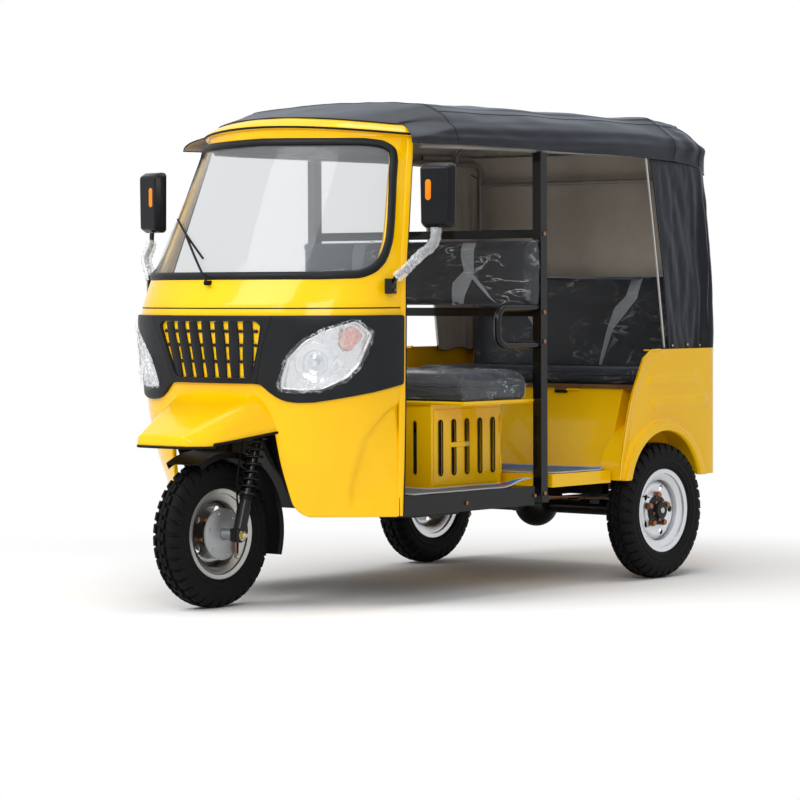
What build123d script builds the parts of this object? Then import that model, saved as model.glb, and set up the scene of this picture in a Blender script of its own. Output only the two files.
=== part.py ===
from build123d import *
import math
import os

os.makedirs("parts", exist_ok=True)

# Sizes in mm. +X is forward, +Y the vehicle's left, +Z up, with the ground at Z = 0.
TYRE_R = 274.0          # outer radius of the 4.50-12 tyre
TYRE_W = 118.0
BEAD_R = 152.4          # bead seat of a 12 inch rim
FLANGE_R = 167.0
RIM_HALF = 47.0         # half the width over the rim flanges
RIM_WALL = 4.0
SEAT_GAP = 0.3          # gap left where one piece is seated on another
RUN_GAP = 0.05          # radial running clearance of a bearing

FRONT_X = 1067.0
REAR_X = -902.0
REAR_Y = 599.0          # wheel centre planes from the middle
RAKE = 16.5             # steering axis, leaning back

LEG_Y = 135.0            # fork legs
LEG_R = 17.0
CROWN_S = 405.0          # fork crown and steering head, up the axis from the axle
HEAD_LOW_S = 440.0
HEAD_HIGH_S = 640.0
STEM_R = 16.0

SHELL_T = 22.0          # hollow cab wall, outer skin to trim
SHELL_REAR_X = 690.0    # rear edge of the cab below the belt
FASCIA_T = 12.0
GLASS_T = 5.0
SEAL_T = 9.0
SHEET = 4.0

RAIL_Y = 330.0
RAIL_W = 50.0
RAIL_TOP = 400.0
RAIL_H = 55.0

FLOOR_HALF = 590.0
DRIVER_FLOOR_TOP = 410.0
SKIRT_BOTTOM = 337.0
DRIVER_FLOOR_REAR = -122.0
CABIN_FLOOR_TOP = 450.0
CABIN_FLOOR_FRONT = -222.0
CABIN_FLOOR_REAR = -680.0
WELL_FRONT = -604.0     # the floor's outer corners stop short of the wheel wells

POST_X = -171.0
POST_Y = 580.0
POST_W = 40.0
POST_TOP = 1696.0
RAIL_LEVELS = (1384.0, 1081.0)
PARTITION_RAIL_H = 33.0

BOX_FRONT = 277.0       # engine box under the driver
BOX_REAR = -150.0
BOX_HALF = 400.0
BOX_TOP = 735.0
PAN_HALF = 560.0         # seat pan and cushion reach out over the footwells
CUSHION_HALF = 575.0
CUSHION_TOP = 850.0
DOOR_FRONT = 262.0       # slotted engine door in the side of the box
DOOR_REAR = -143.0
DOOR_LOW = 424.0
DOOR_HIGH = 712.0
SLOT_LOW = 463.0
SLOT_HIGH = 670.0
SLOT_R = 10.0
SLOT_PITCH = 80.0
SLOT_COUNT = 5

BENCH_TOP = 766.0
BENCH_CUSHION_TOP = 850.0
BENCH_HALF = 520.0
TUB_HALF = 640.0
TUB_REAR = -1322.0
TUB_BOTTOM = 408.0
TUB_TOP = 925.0
TUB_CORNER = 80.0
ARCH_X = -903.0
ARCH_RISE = 78.0         # centre of the wheel arch above the wheel centre
ARCH_GAP = 55.0          # room over the tyre
ARCH_LIP = 35.0
ARCH_Z = TYRE_R + ARCH_RISE
ARCH_OPEN_R = TYRE_R + ARCH_GAP - ARCH_RISE
ARCH_R = ARCH_OPEN_R + ARCH_LIP
ARCH_FLARE = 24.0
RIB_RISE = 4.0           # ribs pressed into the side panels: x from and to, z from and to
RIBS = ((-1142.0, -804.0, 780.0, 828.0), (-1206.0, -825.0, 684.0, 742.0))
VISOR_TOP = 1778.0
HOOD_RIDGE_X = 348.0
BACK_BAR_X = -1249.0     # cross bar of the hood frame behind the bench

# Plan of the cab skin by height: rear edge x, half width there, shoulder x at
# y = 300, bulge of the side arc, and x of the middle.
CAB_ROWS = (
    (340.0, SHELL_REAR_X, 582.0, 928.0, 8.0, 1033.0),
    (440.0, SHELL_REAR_X, 585.0, 953.0, 10.0, 1053.0),
    (540.0, SHELL_REAR_X, 590.0, 978.0, 40.0, 1046.0),
    (700.0, SHELL_REAR_X, 596.0, 998.0, 64.0, 1033.0),
    (1060.0, SHELL_REAR_X, 600.0, 1052.0, 73.0, 1095.0),
    (1105.0, SHELL_REAR_X, 600.0, 1048.0, 68.0, 1090.0),
    (1205.0, 688.0, 598.0, 998.0, 56.0, 1036.0),
    (1730.0, 526.0, 506.0, 713.0, 22.0, 776.0),
)
SHOULDER_Y = 300.0

# Beak over the front wheel by station: x, then half width and height of its
# bottom edge, of the lower crease and of the upper crease.
BEAK_ROWS = (
    (1345.0, 145.0, 605.0, 126.0, 612.0, 109.0, 638.0),
    (1200.0, 198.0, 622.0, 186.0, 670.0, 150.0, 710.0),
    (1100.0, 234.0, 638.0, 215.0, 713.0, 180.0, 755.0),
    (985.0, 276.0, 657.0, 247.0, 752.0, 208.0, 812.0),
    (930.0, 296.0, 666.0, 262.0, 771.0, 221.0, 839.0),
)
BEAK_TIP = 1336.0

# Grille bars by height: pitch between them and half width.
BAR_ROWS = ((1062.0, 65.0, 21.0), (1000.0, 64.0, 23.0), (935.0, 60.5, 25.0), (846.0, 57.0, 19.0))
BAR_COUNT = 7
CROSS_BARS = ((1018.0, 1023.0), (965.0, 975.0), (905.0, 915.0))

HINGE_X = -789.0         # bench lid hinge, in front of the bench's top edge
HINGE_Z = BENCH_TOP - 7.0
HINGE_R = 5.0
HINGE_Y = 214.0
KNUCKLE = 60.0


def prism_x(points, x0, x1):
    """Extrude a (y, z) outline from x0 to x1."""
    wire = Wire.make_polygon([Vector(x0, y, z) for y, z in points])
    return Solid.extrude(Face(wire), Vector(x1 - x0, 0, 0))


def prism_y(points, y0, y1):
    """Extrude an (x, z) outline from y0 to y1."""
    wire = Wire.make_polygon([Vector(x, y0, z) for x, z in points])
    return Solid.extrude(Face(wire), Vector(0, y1 - y0, 0))


def prism_z(points, z0, z1):
    """Extrude an (x, y) outline from z0 to z1."""
    wire = Wire.make_polygon([Vector(x, y, z0) for x, y in points])
    return Solid.extrude(Face(wire), Vector(0, 0, z1 - z0))


def block(x0, x1, y0, y1, z0, z1):
    """A box between two corners."""
    size = (x1 - x0, y1 - y0, z1 - z0)
    return Pos((x0 + x1) / 2, (y0 + y1) / 2, (z0 + z1) / 2) * Box(*size)


def rod(start, end, radius):
    """A round bar between two points."""
    start = Vector(*start)
    end = Vector(*end)
    plane = Plane(origin=start, z_dir=end - start)
    return Solid.make_cylinder(radius, (end - start).length, plane)


def across(x, z, y0, y1, radius):
    """A round bar along Y."""
    return rod((x, y0, z), (x, y1, z), radius)


def bent_tube(points, radius, bend):
    """A tube through the points with rounded bends."""
    wire = FilletPolyline(*points, radius=bend)
    start = wire @ 0
    plane = Plane(origin=start, z_dir=wire % 0)
    return sweep(plane * Circle(radius), path=wire)


def turned(points, x, z, start=0.0, angle=360.0):
    """Turn an (r, y) outline about the Y axis through (x, z)."""
    wire = Wire.make_polygon([Vector(r, y, 0) for r, y in points])
    solid = Solid.revolve(Face(wire), angle, Axis.Y)
    return Pos(x, 0, z) * Rot(0, -start, 0) * solid


def mirrored(points):
    """A left half outline, closed with its mirror image."""
    return list(points) + [(-y, z) for y, z in reversed(points)]


def row_at(z):
    """Cab plan values at a height, straight between the table rows."""
    rows = CAB_ROWS
    for low, high in zip(rows, rows[1:]):
        if z <= high[0]:
            break
    share = (z - low[0]) / (high[0] - low[0])
    return [a + (b - a) * share for a, b in zip(low, high)]


def cab_ring(z, off):
    """Closed plan outline of the cab at a height, moved out by off."""
    row = row_at(z)
    rear, half, shoulder, bulge, nose = row[1:]
    back = rear if off >= 0 else rear - 90.0
    a = Vector(rear, half + off, z)
    b = Vector(shoulder + 0.9 * off, SHOULDER_Y + 0.4 * off, z)
    c = Vector(nose + off, 0, z)
    run = b - a
    normal = Vector(-run.Y, run.X, 0).normalized()
    m = (a + b) * 0.5 + normal * bulge
    flip = [Vector(p.X, -p.Y, z) for p in (a, m, b)]
    edges = [
        Edge.make_three_point_arc(a, m, b),
        Edge.make_three_point_arc(b, c, flip[2]),
        Edge.make_three_point_arc(flip[2], flip[1], flip[0]),
    ]
    if off >= 0:
        edges.append(Edge.make_line(flip[0], a))
    else:
        d = Vector(back, half + off, z)
        e = Vector(back, -half - off, z)
        edges += [Edge.make_line(flip[0], e), Edge.make_line(e, d), Edge.make_line(d, a)]
    return Wire(edges)


def cab_solid(off, low=None, high=None):
    """The whole cab outline as a solid, moved out by off."""
    bottom = CAB_ROWS[0][0] if low is None else low
    top = CAB_ROWS[-1][0] if high is None else high
    levels = [bottom] + [r[0] for r in CAB_ROWS if bottom < r[0] < top] + [top]
    return Solid.make_loft([cab_ring(z, off) for z in levels], ruled=True)


def shrink(points, amount):
    """An outline moved inwards by an amount."""
    face = Face(Wire.make_polygon([Vector(y, z, 0) for y, z in points]))
    wire = face.outer_wire().offset_2d(-amount, kind=Kind.INTERSECTION)
    return [(v.X, v.Y) for v in wire_corners(wire)]


def wire_corners(wire):
    """Corner points of a closed polygon in order."""
    return [e @ 0 for e in wire.order_edges()]


def write(name, solids):
    """Write one node, of one solid or several that do not touch."""
    flat = []
    for item in solids if isinstance(solids, (list, tuple)) else [solids]:
        flat += list(item.solids())
    shape = flat[0] if len(flat) == 1 else Compound(children=flat)
    export_step(shape, f"parts/{name}.step")


# Cab outlines, left half as (y, z), on the curved skin.
WHEEL_OPENING = (
    (0, 750), (150, 750), (235, 668), (257, 650), (277, 500), (292, 380), (309, 354), (331, 330),
    (331, 300), (0, 300),
)
FASCIA = (
    (0, 1079), (640, 1079), (640, 820), (558, 796), (492, 776), (410, 762),
    (356, 761), (303, 770), (262, 793), (216, 828), (0, 828),
)
GRILLE = ((0, 1058), (232, 1058), (252, 1040), (213, 915), (198, 905), (176, 851), (0, 851))
HEADLAMP = (
    (539, 1060), (569, 1009), (557, 971), (537, 893), (508, 845), (443, 807),
    (377, 805), (300, 814), (315, 863), (341, 922), (398, 984), (468, 1019),
)
SCREEN = (
    (0, 1206), (500, 1206), (540, 1216), (561, 1245), (563, 1298), (556, 1353),
    (543, 1426), (510, 1587), (497, 1655), (481, 1700), (440, 1722), (0, 1722),
)


def cab():
    """Cab shell, fascia, lamps, screen and the pieces fixed on them."""
    skin = cab_solid(0)
    inner = cab_solid(-SHELL_T, CAB_ROWS[0][0], CAB_ROWS[-1][0])
    shell = skin - inner
    shell -= prism_x(mirrored(WHEEL_OPENING), 400, 1400)
    screen_hole = shrink(mirrored(SCREEN), 14)
    shell -= prism_x(screen_hole, 400, 1400)
    lamp_holes = [prism_x(shrink(HEADLAMP, 4), 600, 1400)]
    lamp_holes.append(lamp_holes[0].mirror(Plane.XZ))
    for hole in lamp_holes:
        shell -= hole
    write("cab_shell", shell)

    seal = cab_solid(SEAL_T) - skin
    seal &= prism_x(mirrored(SCREEN), 400, 1400)
    seal -= prism_x(shrink(mirrored(SCREEN), 30), 400, 1400)
    write("windscreen_seal", seal)
    glass = skin - cab_solid(-GLASS_T)
    glass &= prism_x(shrink(mirrored(SCREEN), 14 + SEAT_GAP), 400, 1400)
    write("windscreen_glass", max(glass.solids(), key=lambda s: s.volume))

    face = (cab_solid(FASCIA_T) - skin) & prism_x(mirrored(FASCIA), 691, 1400)
    for hole in lamp_holes:
        face -= hole
    grille = prism_x(mirrored(GRILLE), 600, 1400)
    face -= grille
    bars = []
    for index in range(BAR_COUNT):
        step = index - (BAR_COUNT - 1) / 2
        right = [(step * pitch + half, z) for z, pitch, half in BAR_ROWS]
        left = [(step * pitch - half, z) for z, pitch, half in reversed(BAR_ROWS)]
        bars.append(prism_x(right + left, 900, 1300))
    for low, high in CROSS_BARS:
        bars.append(block(900, 1300, -260, 260, low, high))
    slab = (cab_solid(FASCIA_T - 3) - skin) & grille
    for bar in bars:
        face = face + (slab & bar)
    write("fascia", face)

    bowls = []
    lenses = []
    for sign in (1, -1):
        outline = [(sign * y, z) for y, z in shrink(HEADLAMP, 4 + SEAT_GAP)]
        inside = [(sign * y, z) for y, z in shrink(HEADLAMP, 8)]
        cup = (cab_solid(FASCIA_T - 4) - cab_solid(-50)) & prism_x(outline, 700, 1400)
        hollow = (cab_solid(FASCIA_T) - cab_solid(-46)) & prism_x(inside, 700, 1400)
        bowls.append(cup - hollow)
        lens = (cab_solid(FASCIA_T + 6) - cab_solid(FASCIA_T - 4)) & prism_x(outline, 700, 1400)
        lenses.append(lens)
    write("headlamp_bowls", bowls)
    write("headlamp_lenses", lenses)
    return skin


def nose_guard(skin):
    """The beak over the front wheel, seated on the apron skin."""
    def body(wall):
        rings = []
        for x, low_y, low_z, mid_y, mid_z, top_y, top_z in BEAK_ROWS:
            half = [(low_y - wall, low_z - (20 if wall else 0)), (mid_y - 1.1 * wall, mid_z - 0.4 * wall),
                    (top_y - 0.5 * wall, top_z - wall)]
            rings.append(Wire.make_polygon([Vector(x, y, z) for y, z in mirrored(half)]))
        tip = BEAK_TIP - wall
        plan = Wire([
            Edge.make_three_point_arc((tip - 8, -112, 500), (tip, 0, 500), (tip - 8, 112, 500)),
            Edge.make_three_point_arc((tip - 8, 112, 500), (tip - 21, 145, 500), (tip - 46, 170, 500)),
            Edge.make_line((tip - 46, 170, 500), (900, 340, 500)),
            Edge.make_line((900, 340, 500), (900, -340, 500)),
            Edge.make_line((900, -340, 500), (tip - 46, -170, 500)),
            Edge.make_three_point_arc((tip - 46, -170, 500), (tip - 21, -145, 500), (tip - 8, -112, 500)),
        ])
        return Solid.make_loft(rings, ruled=True) & Solid.extrude(Face(plan), Vector(0, 0, 500))

    guard = body(0) - body(SHEET) - skin
    guard -= block(800, 980, -400, 400, 500, 900)
    return max(guard.solids(), key=lambda s: s.volume)


def visor():
    """Peak above the windscreen, from the screen top to the hood."""
    bottom = CAB_ROWS[-1][0]
    levels = ((bottom, 14.0), (bottom + 18, 14.0), (VISOR_TOP, -34.0))
    outer = Solid.make_loft([lift_ring(z, off) for z, off in levels], ruled=True)
    inner = Solid.make_loft([lift_ring(z, off - 16.0) for z, off in levels], ruled=True)
    return outer - inner


def lift_ring(z, off):
    """The top cab outline at another height, always open to the rear."""
    rear, half, shoulder, bulge, nose = CAB_ROWS[-1][1:]
    a = Vector(rear, half + off, z)
    b = Vector(shoulder + 0.9 * off, SHOULDER_Y + 0.4 * off, z)
    c = Vector(nose + off, 0, z)
    run = b - a
    normal = Vector(-run.Y, run.X, 0).normalized()
    m = (a + b) * 0.5 + normal * bulge
    flip = [Vector(p.X, -p.Y, z) for p in (a, m, b)]
    back = rear if off > 0 else rear - 60.0 + off
    d = Vector(back, half + off, z)
    e = Vector(back, -half - off, z)
    edges = [
        Edge.make_three_point_arc(a, m, b),
        Edge.make_three_point_arc(b, c, flip[2]),
        Edge.make_three_point_arc(flip[2], flip[1], flip[0]),
    ]
    if back < rear:
        edges += [Edge.make_line(flip[0], e), Edge.make_line(e, d), Edge.make_line(d, a)]
    else:
        edges.append(Edge.make_line(flip[0], a))
    return Wire(edges)


def tyre(x, y, z):
    """A hollow tyre with its beads on the rim seats."""
    half = TYRE_W / 2
    side = (
        (TYRE_R, 0), (TYRE_R - 1, 22), (TYRE_R - 5, 42), (TYRE_R - 18, 53), (TYRE_R - 50, half),
        (FLANGE_R + 20, half - 6), (FLANGE_R + 1.5, RIM_HALF), (FLANGE_R + 1, RIM_HALF - RIM_WALL - 0.4),
        (BEAD_R + 3, RIM_HALF - RIM_WALL - 0.4),
        (BEAD_R + SEAT_GAP, RIM_HALF - RIM_WALL - 2), (BEAD_R + SEAT_GAP, 26), (BEAD_R + 18, 33),
        (TYRE_R - 50, half - 12), (TYRE_R - 18, 40), (TYRE_R - 13, 0),
    )
    ring = list(side[:-1]) + [side[-1]] + [(r, -w) for r, w in reversed(side[1:-1])]
    solid = turned(ring, 0, 0)
    return Pos(x, y, z) * solid


def rim(x, y, z, disc, bore):
    """Pressed steel rim: barrel with drop centre, and a disc with hand holes."""
    half = RIM_HALF
    drop = 24.0
    wall = RIM_WALL
    outside = (
        (FLANGE_R, half), (FLANGE_R, half - wall), (BEAD_R, half - wall), (BEAD_R, drop + 8),
        (BEAD_R - 26, drop), (BEAD_R - 26, -drop), (BEAD_R, -drop - 8), (BEAD_R, wall - half),
        (FLANGE_R, wall - half), (FLANGE_R, -half),
    )
    inside = (
        (BEAD_R - wall, -half), (BEAD_R - wall, -drop - 10), (BEAD_R - 26 - wall, -drop - 2),
        (BEAD_R - 26 - wall, drop + 2), (BEAD_R - wall, drop + 10), (BEAD_R - wall, half),
    )
    solid = turned(outside + inside, 0, 0)
    plate = turned(((bore, disc), (bore, disc + 6), (BEAD_R - 27 - wall + 2, disc + 6),
                    (BEAD_R - 27 - wall + 2, disc)), 0, 0)
    solid = solid + plate
    for index in range(5):
        angle = math.radians(36 + 72 * index)
        cx = 92 * math.cos(angle)
        cz = 92 * math.sin(angle)
        solid -= across(cx, cz, disc - 20, disc + 20, 13)
    return Pos(x, y, z) * solid


def wheels():
    """Three wheels: tyre, rim and hub drum of each."""
    write("front_tyre", tyre(FRONT_X, 0, TYRE_R))
    write("front_rim", rim(FRONT_X, 0, TYRE_R, -3, 45))
    hub = across(FRONT_X, TYRE_R, -40, -3 - SEAT_GAP, 72)
    hub += across(FRONT_X, TYRE_R, -41, 44, 44)
    hub -= across(FRONT_X, TYRE_R, -60, 60, 10 + RUN_GAP)
    write("front_hub", hub)
    for side, sign in (("left", 1), ("right", -1)):
        pieces = {
            f"rear_tyre_{side}": tyre(REAR_X, REAR_Y, TYRE_R),
            f"rear_rim_{side}": rim(REAR_X, REAR_Y, TYRE_R, 12, 34),
        }
        drum = across(REAR_X, TYRE_R, REAR_Y - 45, REAR_Y + 12 - SEAT_GAP, 70)
        drum += across(REAR_X, TYRE_R, REAR_Y, REAR_Y + 42, 33)
        drum -= across(REAR_X, TYRE_R, REAR_Y - 80, REAR_Y + 32, 18 + RUN_GAP)
        pieces[f"rear_hub_{side}"] = drum
        for name, solid in pieces.items():
            write(name, solid if sign > 0 else solid.mirror(Plane.XZ))


def along_fork(s, y=0.0, forward=0.0):
    """A point on the steering axis plane, s up the axis from the axle."""
    lean = math.radians(RAKE)
    x = FRONT_X - s * math.sin(lean) + forward * math.cos(lean)
    z = TYRE_R + s * math.cos(lean) + forward * math.sin(lean)
    return (x, y, z)


def steering():
    """Fork, springs, mudguard, brake plate and handlebar."""
    fork = across(FRONT_X, TYRE_R, -LEG_Y - 22, LEG_Y + 22, 10)
    for sign in (1, -1):
        fork += rod(along_fork(-26, sign * LEG_Y), along_fork(CROWN_S, sign * LEG_Y), LEG_R)
        fork += across(FRONT_X, TYRE_R, sign * (LEG_Y - 18), sign * (LEG_Y + 18), 24)
        for s in (150.0, 372.0):
            fork += rod(along_fork(s, sign * LEG_Y), along_fork(s + 6, sign * LEG_Y), 38)
    low = along_fork(CROWN_S - 14)
    high = along_fork(CROWN_S + 14)
    plane = Plane(origin=low, x_dir=(0, 1, 0), z_dir=Vector(*high) - Vector(*low))
    fork += extrude(plane * RectangleRounded(2 * LEG_Y + 50, 62, 25), 28)
    fork += rod(along_fork(CROWN_S), along_fork(786), STEM_R)
    write("fork", fork)

    springs = []
    for sign in (1, -1):
        base = Plane(origin=along_fork(156 + 4 + SEAT_GAP, sign * LEG_Y),
                     z_dir=Vector(*along_fork(300)) - Vector(*along_fork(100)))
        path = Helix(22.5, 372 - 156 - 8 - 2 * SEAT_GAP, 29.0)
        start = path @ 0
        profile = Plane(origin=start, z_dir=path % 0) * Rectangle(8, 8)
        coil = sweep(profile, path=path, is_frenet=True)
        springs.append(base.location * coil)
    write("fork_springs", springs)

    guard = turned(((300, -85), (304, -85), (304, 85), (300, 85)), FRONT_X, TYRE_R, 198, 138)
    for sign in (1, -1):
        lip = sorted((sign * 85, sign * 81))
        guard += turned(((268 + 12, lip[0]), (304, lip[0]), (304, lip[1]), (268 + 12, lip[1])),
                        FRONT_X, TYRE_R, 198, 138)
    guard += rod(along_fork(302), along_fork(CROWN_S - 14 - SEAT_GAP), 12)
    write("front_mudguard", max(guard.solids(), key=lambda s: s.volume))

    plate = across(FRONT_X, TYRE_R, 50, 56, 95)
    plate += across(FRONT_X, TYRE_R, 56, LEG_Y - 18 - SEAT_GAP, 20)
    plate -= across(FRONT_X, TYRE_R, 40, 140, 10 + SEAT_GAP)
    plate += rod((FRONT_X - 52, 62, TYRE_R + 8), (FRONT_X - 60, 62, TYRE_R - 92), 6)
    plate += across(FRONT_X - 52, TYRE_R + 8, 54, 68, 10)
    write("front_brake_plate", plate)

    bar_s = 800.0
    centre = along_fork(bar_s)
    rise = 34.0
    path = (
        (centre[0] - 62, 285, centre[2] + rise), (centre[0] - 10, 150, centre[2] + rise),
        (centre[0], 60, centre[2]), (centre[0], -60, centre[2]),
        (centre[0] - 10, -150, centre[2] + rise), (centre[0] - 62, -285, centre[2] + rise),
    )
    bar = bent_tube(path, 11, 30)
    clamp = rod(along_fork(770), along_fork(816), 28)
    clamp -= rod(along_fork(700), along_fork(790 + SEAT_GAP), STEM_R + SEAT_GAP)
    bar += clamp
    for sign in (1, -1):
        inner = Vector(centre[0] - 26, sign * 190, centre[2] + rise)
        outer = Vector(centre[0] - 64, sign * 290, centre[2] + rise)
        bar += rod(inner, outer, 17)
    write("handlebar", bar)


def chassis():
    """Rails, cross members, spine and steering head."""
    frame = []
    for sign in (1, -1):
        y0, y1 = sorted((sign * (RAIL_Y - RAIL_W / 2), sign * (RAIL_Y + RAIL_W / 2)))
        frame.append(block(-1255, 650, y0, y1, RAIL_TOP - RAIL_H, RAIL_TOP))
    for x0, x1, half in ((590, 650, 340), (215, 255, 340), (-700, -660, 520),
                         (-1255, -1215, 560)):
        frame.append(block(x0, x1, -half, half, RAIL_TOP - RAIL_H, RAIL_TOP - 12))
    frame.append(block(POST_X - 22, POST_X + 22, -605, 605, RAIL_TOP - RAIL_H, 372))
    spine = prism_y(((590, 352), (650, 352), (935, 770), (905, 800), (862, 770)), -38, 38)
    head = rod(along_fork(HEAD_LOW_S), along_fork(HEAD_HIGH_S), 32)
    frame += [spine, head]
    solid = frame[0]
    for item in frame[1:]:
        solid = solid + item
    solid -= rod(along_fork(HEAD_LOW_S - 60), along_fork(HEAD_HIGH_S + 60), STEM_R + RUN_GAP)
    for x in (REAR_X - 320, REAR_X + 320):
        for sign in (1, -1):
            solid = solid + block(x - 22, x + 22, sign * RAIL_Y - 30, sign * RAIL_Y + 30, 335, 350)
    write("chassis", max(solid.solids(), key=lambda s: s.volume))


def floors():
    """Driver's tray with toe board, cabin floor and the two mats."""
    outer = block(DRIVER_FLOOR_REAR, SHELL_REAR_X - SEAT_GAP, -FLOOR_HALF, FLOOR_HALF, SKIRT_BOTTOM,
                  DRIVER_FLOOR_TOP)
    inner = block(DRIVER_FLOOR_REAR - 50, 760, -FLOOR_HALF + 6, FLOOR_HALF - 6, SKIRT_BOTTOM - 50, RAIL_TOP)
    tray = outer - inner
    toe = prism_y(((684, 400), (694, 400), (850, 690), (843, 694), (684, 410)), -450, 450)
    tray = tray + toe
    tray -= block(-110, 210, -365, 365, 380, 430)
    tray -= block(560, 700, -39, 39, 380, 411) + block(600, 1000, -39, 39, 395, 760)
    write("driver_floor", max(tray.solids(), key=lambda s: s.volume))
    mat = block(BOX_FRONT + 20, 590, -560, 560, DRIVER_FLOOR_TOP, DRIVER_FLOOR_TOP + 5)
    mat -= block(550, 600, -45, 45, 400, 430)
    write("driver_mat", mat)

    outer = block(CABIN_FLOOR_REAR, CABIN_FLOOR_FRONT, -600, 600, RAIL_TOP, CABIN_FLOOR_TOP)
    inner = block(CABIN_FLOOR_REAR + 4, CABIN_FLOOR_FRONT - 4, -596, 596, RAIL_TOP - 5, CABIN_FLOOR_TOP - 4)
    deck = outer - inner
    for sign in (1, -1):
        deck -= block(CABIN_FLOOR_REAR - 5, WELL_FRONT, sign * 565 - 45, sign * 565 + 45, 300, 500)
        deck += block(WELL_FRONT, WELL_FRONT + 4, sign * 560 - 38, sign * 560 + 38, RAIL_TOP, CABIN_FLOOR_TOP)
    for x in (-560, -350):
        deck = deck + block(x - 15, x + 15, -598, 598, RAIL_TOP, CABIN_FLOOR_TOP - 2)
    write("cabin_floor", deck)
    mat = prism_z(((-240, -520), (-240, 520), (-300, 575), (-590, 575), (-596, 510), (-660, 510), (-660, -510),
                   (-596, -510), (-590, -575), (-300, -575)), CABIN_FLOOR_TOP, CABIN_FLOOR_TOP + 5)
    write("cabin_mat", mat)


def slot_cut(place, axis):
    """A tall cooling slot with round ends, through a wall across the axis."""
    x, y = place
    reach = (50, SLOT_R) if axis == Axis.X else (SLOT_R, 50)
    cut = block(x - reach[0], x + reach[0], y - reach[1], y + reach[1], SLOT_LOW + SLOT_R, SLOT_HIGH - SLOT_R)
    run = (50, 0) if axis == Axis.X else (0, 50)
    for z in (SLOT_LOW + SLOT_R, SLOT_HIGH - SLOT_R):
        cut += rod((x - run[0], y - run[1], z), (x + run[0], y + run[1], z), SLOT_R)
    return cut


def engine_bay():
    """Engine, its box with a hinged side door, and the driver's cushion."""
    case = block(BOX_REAR, BOX_FRONT, -BOX_HALF, BOX_HALF, DRIVER_FLOOR_TOP, BOX_TOP)
    case -= block(BOX_REAR + 3, BOX_FRONT - 3, -BOX_HALF + 3, BOX_HALF - 3, DRIVER_FLOOR_TOP - 10, BOX_TOP - 3)
    pan = block(BOX_REAR, BOX_FRONT + 8, -PAN_HALF, PAN_HALF, BOX_TOP - 3, BOX_TOP + 8)
    pan -= block(BOX_REAR + 8, BOX_FRONT, 8 - PAN_HALF, PAN_HALF - 8, BOX_TOP, BOX_TOP + 20)
    case = case + pan
    case -= block(DOOR_REAR + 18, DOOR_FRONT - 16, BOX_HALF - 50, BOX_HALF + 50, DOOR_LOW + 16, DOOR_HIGH - 12)
    vents = int((BOX_HALF - 80) // SLOT_PITCH)
    for index in range(-vents, vents + 1):
        case -= slot_cut((BOX_FRONT, index * SLOT_PITCH), Axis.X)
    write("engine_box", case)
    skin_y = BOX_HALF + SEAT_GAP
    door = block(DOOR_REAR, DOOR_FRONT, skin_y, skin_y + 3, DOOR_LOW, DOOR_HIGH)
    middle = (DOOR_REAR + DOOR_FRONT) / 2 + 5
    for index in range(SLOT_COUNT):
        door -= slot_cut((middle + (index - (SLOT_COUNT - 1) / 2) * SLOT_PITCH, BOX_HALF), Axis.Y)
    for z in (DOOR_LOW + 76, DOOR_HIGH - 72):
        door += rod((DOOR_REAR, BOX_HALF + 5, z - 25), (DOOR_REAR, BOX_HALF + 5, z + 25), 4.5)
    write("engine_door", door)
    block_engine = block(-90, 190, -240, 240, 290, 620)
    for x in (-40, 80):
        block_engine += block(x - 16, x + 16, -350, 350, RAIL_TOP, RAIL_TOP + 14)
    write("engine", block_engine)
    rear = POST_X + POST_W / 2 + SEAT_GAP
    cushion = block(rear, BOX_FRONT + 16, -CUSHION_HALF, CUSHION_HALF, BOX_TOP + 8, CUSHION_TOP)
    cushion = fillet(cushion.edges().filter_by(Axis.Z), 40)
    cushion = fillet(cushion.faces().sort_by(Axis.Z)[-1].edges(), 38)
    write("driver_cushion", cushion)


def partition():
    """Mid posts and rails, driver's backrest and the grab handles."""
    frame = None
    for sign in (1, -1):
        post = block(POST_X - POST_W / 2, POST_X + POST_W / 2, sign * POST_Y - POST_W / 2,
                     sign * POST_Y + POST_W / 2, 372, POST_TOP)
        frame = post if frame is None else frame + post
    for level in RAIL_LEVELS:
        frame += block(POST_X - 16, POST_X + 16, -POST_Y, POST_Y, level - PARTITION_RAIL_H / 2,
                       level + PARTITION_RAIL_H / 2)
    write("mid_posts", frame)
    low = RAIL_LEVELS[1] + PARTITION_RAIL_H / 2
    pad = block(POST_X + 16 + SEAT_GAP, POST_X + 76, -470, 470, low - 30, RAIL_LEVELS[0] - 8)
    pad = fillet(pad.edges().filter_by(Axis.X), 45)
    pad = fillet(pad.faces().sort_by(Axis.X)[-1].edges(), 20)
    write("driver_backrest", pad)
    handles = []
    for sign in (1, -1):
        y = sign * POST_Y
        start = POST_X + POST_W / 2 + SEAT_GAP
        path = ((start, y, 1100), (95, y, 1100), (95, y, 955), (start, y, 955))
        handles.append(bent_tube(path, 14, 50))
    write("grab_handles", handles)


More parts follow.
